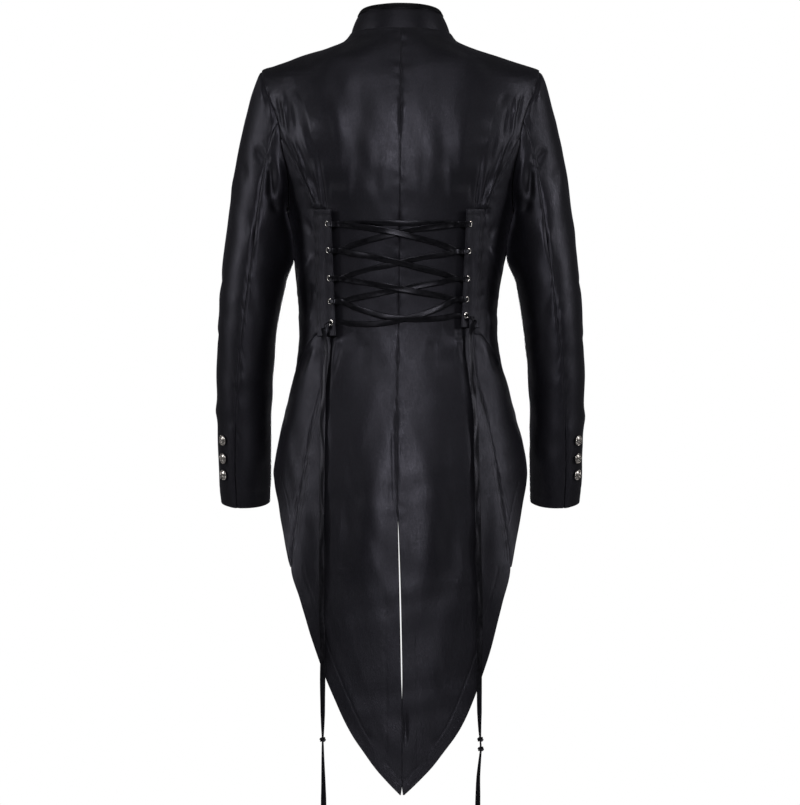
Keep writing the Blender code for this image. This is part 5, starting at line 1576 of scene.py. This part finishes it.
def stitches(name, points, normals):
    """A row of stitches along a line of points, each a short tapered run of thread."""
    points, normals = np.asarray(points, float), np.asarray(normals, float)
    travelled = along_path(points)
    pitch, length, radius = STITCH["pitch"], STITCH["length"], STITCH["radius"]
    count = int(travelled[-1] / pitch)
    vertices, faces = [], []
    corners = STITCH_CORNERS
    turn = np.linspace(0, 2 * math.pi, corners, endpoint=False)
    for k in range(count):
        wander = 0.00022 * math.sin(k * 2.3) + 0.0001 * math.sin(k * 5.1)
        middle = (k + 0.5) * pitch + wander
        reach = length * (1 + 0.08 * math.sin(k * 1.9))
        along_at = [middle + share * reach for share, _, _ in STITCH_RINGS]
        ring_points = interpolated(along_at, travelled, points)
        normal = unit(interpolated(middle, travelled, normals))
        along = unit(ring_points[-1] - ring_points[0])
        sideways = unit(np.cross(along, normal))
        base = len(vertices)
        for point, (_, size, height) in zip(ring_points, STITCH_RINGS):
            for angle in turn:
                way = sideways * math.cos(angle) + normal * math.sin(angle)
                vertices.append(point + normal * height * radius + way * radius * size)
        last = base + (len(STITCH_RINGS) - 1) * corners
        for ring in range(base, last, corners):
            for corner in range(corners):
                a, b = ring + corner, ring + (corner + 1) % corners
                faces.append((a, b, b + corners, a + corners))
        faces.append(tuple(range(base + corners - 1, base - 1, -1)))
        faces.append(tuple(range(last, last + corners)))
    mesh = bpy.data.meshes.new(name)
    mesh.from_pydata([tuple(point) for point in vertices], [], faces)
    mesh.materials.append(thread)
    mesh.shade_smooth()
    return linked(name, mesh)


def strap_stitches(name, side):
    """Two rows down the sewn edge and one across the top."""
    width, length = strap_lengths(name)
    runs = np.linspace(*STRAP_ROWS["down"], 90)
    rows = [(np.full(len(runs), place / width), runs) for place in STRAP_STITCH["sewn"]]
    shares = np.linspace(*STRAP_ROWS["across"], 30)
    rows.append((shares, np.full(len(shares), STRAP_STITCH["top"] / length)))
    pieces = []
    for number, (share, run) in enumerate(rows, 1):
        points, normals = strap_point(name, side, share, run)
        sunk = points - normals * STITCH_SUNK
        pieces.append(stitches(f"strap_stitch_{name}_{number}", sunk, normals))
    return worn(joined(f"strap_stitches_{name}", pieces), "velvet")


def form_stitches(name, x, z, side, from_seam=SEAM_CALM):
    """A row of stitches on the back of the coat, along points of x and z."""
    angle = angle_at(x, z, side)
    points, normals = on_form(angle, z, side), form_normal(angle, z, side)
    relief = (fold_height(points, normals, side) + uneven_height(points)) * beside_straps(points)
    relief = relief * ease(from_seam, 0, SEAM_CALM)
    return stitches(name, points + normals * relief[..., None], normals)


def make_stitches():
    """Rows beside the tail's and the sleeve's seams, and the box that closes the vent."""
    for name, side in SIDES:
        z = np.linspace(*TAIL_ROWS["z"], 160)
        seam = lookup(BACK_EDGE, BACK_EDGE_COLUMNS, "x", z)
        pieces = []
        for number, inward in enumerate(TAIL_ROWS["inward"], 1):
            row = f"tail_stitch_{name}_{number}"
            pieces.append(form_stitches(row, side * (seam - inward), z, side, inward))
        worn(joined(f"tail_stitches_{name}", pieces), "velvet")
        points, normals = sleeve_grid(side, INNER_SEAM - 2 * math.pi, ELBOW_SEAM)
        relief = fold_height(points, normals, side) + uneven_height(points)
        points = points + normals * relief[..., None]
        rows = points[:, 0, 2] < ELBOW_ROW_TOP
        line, out = points[rows][:, ELBOW_ROW_COLUMN], normals[rows][:, ELBOW_ROW_COLUMN]
        worn(stitches(f"elbow_stitches_{name}", line, out), "velvet")
    box = []
    for number, (x, z, count) in enumerate(VENT_ROWS, 1):
        row = f"vent_stitch_{number}"
        box.append(form_stitches(row, np.linspace(*x, count), np.linspace(*z, count), 1))
    worn(joined("vent_stitches", box), "velvet")


def new_group(name, inputs, outputs):
    group = bpy.data.node_groups.new(name, "ShaderNodeTree")
    for socket_name, kind, value in inputs:
        socket = group.interface.new_socket(socket_name, in_out="INPUT", socket_type=kind)
        socket.default_value = value
    for socket_name, kind in outputs:
        group.interface.new_socket(socket_name, in_out="OUTPUT", socket_type=kind)
    return group, group.nodes.new("NodeGroupInput"), group.nodes.new("NodeGroupOutput")


def node(tree, kind, **values):
    made = tree.nodes.new(kind)
    for key, value in values.items():
        if hasattr(made, key):
            setattr(made, key, value)
        else:
            made.inputs[key.replace("_", " ")].default_value = value
    return made


def set_inputs(made, **values):
    for key, value in values.items():
        made.inputs[key.replace("_", " ")].default_value = value
    return made


def object_place(tree):
    return node(tree, "ShaderNodeTexCoord").outputs["Object"]


def noise(tree, place, **values):
    made = node(tree, "ShaderNodeTexNoise", **values)
    tree.links.new(place, made.inputs["Vector"])
    return made


def math_node(tree, operation, first, second):
    made = tree.nodes.new("ShaderNodeMath")
    made.operation = operation
    for socket, value in zip(made.inputs, (first, second)):
        if isinstance(value, (int, float)):
            socket.default_value = value
        else:
            tree.links.new(value, socket)
    return made.outputs[0]


def ranged(tree, value, low, high, to_low, to_high):
    made = tree.nodes.new("ShaderNodeMapRange")
    tree.links.new(value, made.inputs["Value"])
    set_inputs(made, From_Min=low, From_Max=high, To_Min=to_low, To_Max=to_high)
    return made.outputs["Result"]


def nap_group():
    """Velvet pile: how brushed or crushed it is, as a shade from 0 to 1, and its fine height."""
    group, given, result = new_group(
        "velvet_nap",
        (("Patch Scale", "NodeSocketFloat", 62.0), ("Pile Scale", "NodeSocketFloat", 2100.0)),
        (("Shade", "NodeSocketFloat"), ("Height", "NodeSocketFloat")),
    )
    place = object_place(group)
    stretch = node(group, "ShaderNodeMapping", Scale=(1.0, 1.0, 0.42))
    group.links.new(place, stretch.inputs["Vector"])
    stretched = stretch.outputs[0]
    patches = noise(group, stretched, Detail=5.0, Roughness=0.62, Distortion=0.4)
    group.links.new(given.outputs["Patch Scale"], patches.inputs["Scale"])
    specks = noise(group, stretched, Scale=520.0, Detail=3.0, Roughness=0.7)
    wide = noise(group, place, Scale=7.0, Detail=2.0, Roughness=0.5)
    crushed = ranged(group, patches.outputs["Fac"], 0.30, 0.74, 0.15, 0.80)
    speckled = ranged(group, specks.outputs["Fac"], 0.34, 0.72, -0.36, 0.36)
    broad = ranged(group, wide.outputs["Fac"], 0.3, 0.7, -0.18, 0.18)
    shade = math_node(group, "ADD", math_node(group, "ADD", crushed, speckled), broad)
    group.links.new(shade, result.inputs["Shade"])
    pile = noise(group, place, Detail=2.0, Roughness=0.6)
    group.links.new(given.outputs["Pile Scale"], pile.inputs["Scale"])
    height = math_node(group, "MULTIPLY", patches.outputs["Fac"], 0.36)
    marks = math_node(group, "MULTIPLY", specks.outputs["Fac"], 0.17)
    fine = math_node(group, "MULTIPLY", pile.outputs["Fac"], 0.21)
    total = math_node(group, "ADD", height, math_node(group, "ADD", marks, fine))
    group.links.new(total, result.inputs["Height"])
    return group


def weave_group():
    """Plain weave on the cloth's own UV: rows of thread up and across, and their shade."""
    group, given, result = new_group(
        "thread_weave",
        (("Thread", "NodeSocketFloat", 0.00035), ("Across", "NodeSocketFloat", 1.0)),
        (("Shade", "NodeSocketFloat"), ("Height", "NodeSocketFloat")),
    )
    place = node(group, "ShaderNodeUVMap", uv_map="cloth")
    apart = node(group, "ShaderNodeSeparateXYZ")
    group.links.new(place.outputs["UV"], apart.inputs[0])
    turns = math_node(group, "DIVIDE", 2 * math.pi, given.outputs["Thread"])
    across = math_node(group, "SINE", math_node(group, "MULTIPLY", apart.outputs["X"], turns), 0.0)
    along = math_node(group, "SINE", math_node(group, "MULTIPLY", apart.outputs["Y"], turns), 0.0)
    along = math_node(group, "MULTIPLY", along, given.outputs["Across"])
    height = math_node(group, "ADD", across, along)
    blotches = noise(group, object_place(group), Scale=260.0, Detail=3.0)
    shade = ranged(group, blotches.outputs["Fac"], 0.3, 0.7, 0.0, 1.0)
    group.links.new(shade, result.inputs["Shade"])
    group.links.new(height, result.inputs["Height"])
    return group


def new_material(name):
    material = bpy.data.materials.new(name)
    material.use_nodes = True
    return material, material.node_tree, material.node_tree.nodes["Principled BSDF"]


def use_group(tree, group, **values):
    made = tree.nodes.new("ShaderNodeGroup")
    made.node_tree = group
    return set_inputs(made, **values)


def coloured(tree, shader, factor, stops):
    """The shader's colour, from stops along a ramp that the factor runs over."""
    ramp = tree.nodes.new("ShaderNodeValToRGB")
    tree.links.new(factor, ramp.inputs["Fac"])
    elements = ramp.color_ramp.elements
    while len(elements) < len(stops):
        elements.new(0.5)
    for element, (position, colour) in zip(elements, stops):
        element.position = position
        element.color = (*colour, 1)
    tree.links.new(ramp.outputs["Color"], shader.inputs["Base Color"])


def bumped(tree, shader, height, strength, distance):
    bump = set_inputs(tree.nodes.new("ShaderNodeBump"), Strength=strength, Distance=distance)
    tree.links.new(height, bump.inputs["Height"])
    tree.links.new(bump.outputs["Normal"], shader.inputs["Normal"])


def velvet_material():
    material, tree, shader = new_material("black_velvet")
    nap = use_group(tree, nap_velvet)
    # Painted shade and light: the velvet is darker in the folds' troughs and lighter on their crests,
    # by their relief, on top of its random nap tone.
    relief_for_painted_shade = tree.nodes.new("ShaderNodeAttribute")
    relief_for_painted_shade.attribute_name = "relief_for_painted_shade"
    raised = ranged(tree, relief_for_painted_shade.outputs["Fac"], -1.6, 2.4, -0.30, 0.30)
    shade = math_node(tree, "ADD", nap.outputs["Shade"], raised)
    coloured(tree, shader, shade, VELVET_STOPS)
    place = tree.nodes.new("ShaderNodeSeparateXYZ")
    tree.links.new(object_place(tree), place.inputs[0])
    flatter = ranged(tree, place.outputs["Z"], -0.90, -0.55, -0.09, 0.0)
    gloss = ranged(tree, shade, 0.0, 1.0, 0.54, 0.36)
    tree.links.new(math_node(tree, "ADD", gloss, flatter), shader.inputs["Roughness"])
    set_inputs(
        shader,
        Specular_IOR_Level=0.42, Specular_Tint=(0.84, 0.82, 1.0, 1),
        Anisotropic=0.40, Anisotropic_Rotation=0.25,
        Sheen_Weight=0.045, Sheen_Roughness=0.35, Sheen_Tint=(0.62, 0.60, 0.78, 1),
    )
    bumped(tree, shader, nap.outputs["Height"], 0.60, 0.0013)
    return material


def cloth_back_material():
    """The wrong side of the velvet: plain black weave with no pile."""
    material, tree, shader = new_material("velvet_wrong_side")
    weave = use_group(tree, thread_weave, Thread=0.0006)
    coloured(tree, shader, weave.outputs["Shade"], WRONG_SIDE_STOPS)
    set_inputs(shader, Roughness=0.82)
    bumped(tree, shader, weave.outputs["Height"], 0.35, 0.00008)
    return material


def satin_material():
    material, tree, shader = new_material("black_satin")
    weave = use_group(tree, thread_weave, Thread=0.00042, Across=0.25)
    coloured(tree, shader, weave.outputs["Shade"], SATIN_STOPS)
    gloss = ranged(tree, weave.outputs["Shade"], 0.0, 1.0, 0.30, 0.42)
    tree.links.new(gloss, shader.inputs["Roughness"])
    set_inputs(shader, Specular_IOR_Level=0.24, Specular_Tint=(0.86, 0.84, 1.0, 1))
    bumped(tree, shader, weave.outputs["Height"], 0.30, 0.00003)
    return material


def thread_material():
    material, tree, shader = new_material("black_thread")
    twist = noise(tree, object_place(tree), Scale=2600.0, Detail=2.0)
    coloured(tree, shader, twist.outputs["Fac"], THREAD_STOPS)
    set_inputs(shader, Roughness=0.5)
    bumped(tree, shader, twist.outputs["Fac"], 0.4, 0.0001)
    return material


def metal_material(name):
    """Cast or pressed metal: darker where it is tarnished, worn bright in between."""
    material, tree, shader = new_material(name)
    metal = METALS[name]
    place = object_place(tree)
    tarnish = noise(tree, place, Scale=420.0, Detail=5.0, Roughness=0.65).outputs["Fac"]
    coloured(tree, shader, tarnish, ((0.36, metal["dark"]), (0.62, metal["light"])))
    low, high = metal["roughness"]
    tree.links.new(ranged(tree, tarnish, 0.35, 0.65, high, low), shader.inputs["Roughness"])
    set_inputs(shader, Metallic=1.0)
    pits = noise(tree, place, Scale=1500.0, Detail=3.0)
    bumped(tree, shader, pits.outputs["Fac"], metal["pits"], 0.0001)
    return material


def floor_material():
    """Pale studio floor that fades out towards its rim."""
    material, tree, shader = new_material("studio_floor")
    set_inputs(shader, Base_Color=(0.62, 0.62, 0.63, 1), Roughness=0.7)
    far = tree.nodes.new("ShaderNodeVectorMath")
    far.operation = "LENGTH"
    tree.links.new(object_place(tree), far.inputs[0])
    seen = ranged(tree, far.outputs["Value"], *FLOOR_FADE, 1.0, 0.0)
    tree.links.new(seen, shader.inputs["Alpha"])
    return material


FLOOR_Z = -1.42
FLOOR_RADIUS = 2.7
FLOOR_FADE = (0.7, 1.7)


def make_floor():
    deselect()
    bpy.ops.mesh.primitive_circle_add(vertices=96, radius=FLOOR_RADIUS, fill_type="NGON")
    floor = bpy.context.object
    floor.name = "floor"
    floor.location.z = FLOOR_Z
    floor.data.materials.append(floor_material())


LIGHT_COLUMNS = ("name", "place", "aim", "width", "height", "power")
LIGHTS = (
    ("key_strip", (0.0, 3.3, 0.84), (0, 0, -0.2), 0.34, 1.1, 56),
    ("left_soft", (3.3, 0.8, 0.62), (0.1, 0, -0.2), 0.6, 1.3, 34),
    ("right_soft", (-3.3, 0.8, 0.62), (-0.1, 0, -0.2), 0.6, 1.3, 34),
    ("top_soft", (0, -0.4, 2.4), (0, 0, -0.4), 1.2, 0.8, 3),
    ("front_soft", (0.0, -3.4, -0.1), (0, 0, -0.4), 0.5, 1.7, 46),
)


# How bright the white around is: on the coat, and as the camera sees it.
WORLD_STRENGTH = (0.05, 1.0)


def make_lights():
    for row in LIGHTS:
        light = dict(zip(LIGHT_COLUMNS, row))
        data = bpy.data.lights.new(light["name"], "AREA")
        data.shape = "RECTANGLE"
        data.size, data.size_y = light["width"], light["height"]
        data.energy = light["power"]
        obj = linked(light["name"], data)
        place, aim = Vector(light["place"]), Vector(light["aim"])
        obj.location = place
        obj.visible_camera = False
        obj.rotation_euler = (aim - place).to_track_quat("-Z", "Y").to_euler()
    world = bpy.data.worlds.new("studio")
    bpy.context.scene.world = world
    world.use_nodes = True
    tree = world.node_tree
    background = tree.nodes["Background"]
    seen = tree.nodes.new("ShaderNodeLightPath")
    strength = ranged(tree, seen.outputs["Is Camera Ray"], 0, 1, *WORLD_STRENGTH)
    background.inputs["Color"].default_value = (1, 1, 1, 1)
    tree.links.new(strength, background.inputs["Strength"])


def make_camera():
    data = bpy.data.cameras.new("photo_camera")
    data.sensor_fit = "HORIZONTAL"
    data.sensor_width = CAMERA_SENSOR
    data.lens = CAMERA_LENS
    camera = linked("photo_camera", data)
    camera.location = CAMERA_PLACE
    camera.rotation_euler = (math.radians(90), 0, math.radians(180))
    bpy.context.scene.camera = camera
    bpy.context.scene.view_settings.view_transform = "Standard"


nap_velvet = nap_group()
thread_weave = weave_group()
velvet = velvet_material()
velvet_pair = (velvet, cloth_back_material())
satin = satin_material()
thread = thread_material()
eyelet_metal = metal_material("nickel_eyelets")
button_metal = metal_material("antique_silver")

make_camera()
make_lace_ends()
for side_name, side_sign in SIDES:
    make_back(side_name, side_sign)
    make_side(side_name, side_sign)
    make_front(side_name, side_sign)
    make_skirt(side_name, side_sign)
    make_sleeve(side_name, side_sign)
    strap = make_strap(side_name, side_sign)
    sewing = strap_stitches(side_name, side_sign)
make_lace()
coat_collar = make_collar()
coat_binding = make_binding()
make_eyelets()
make_buttons()
make_stitches()
make_floor()
make_lights()
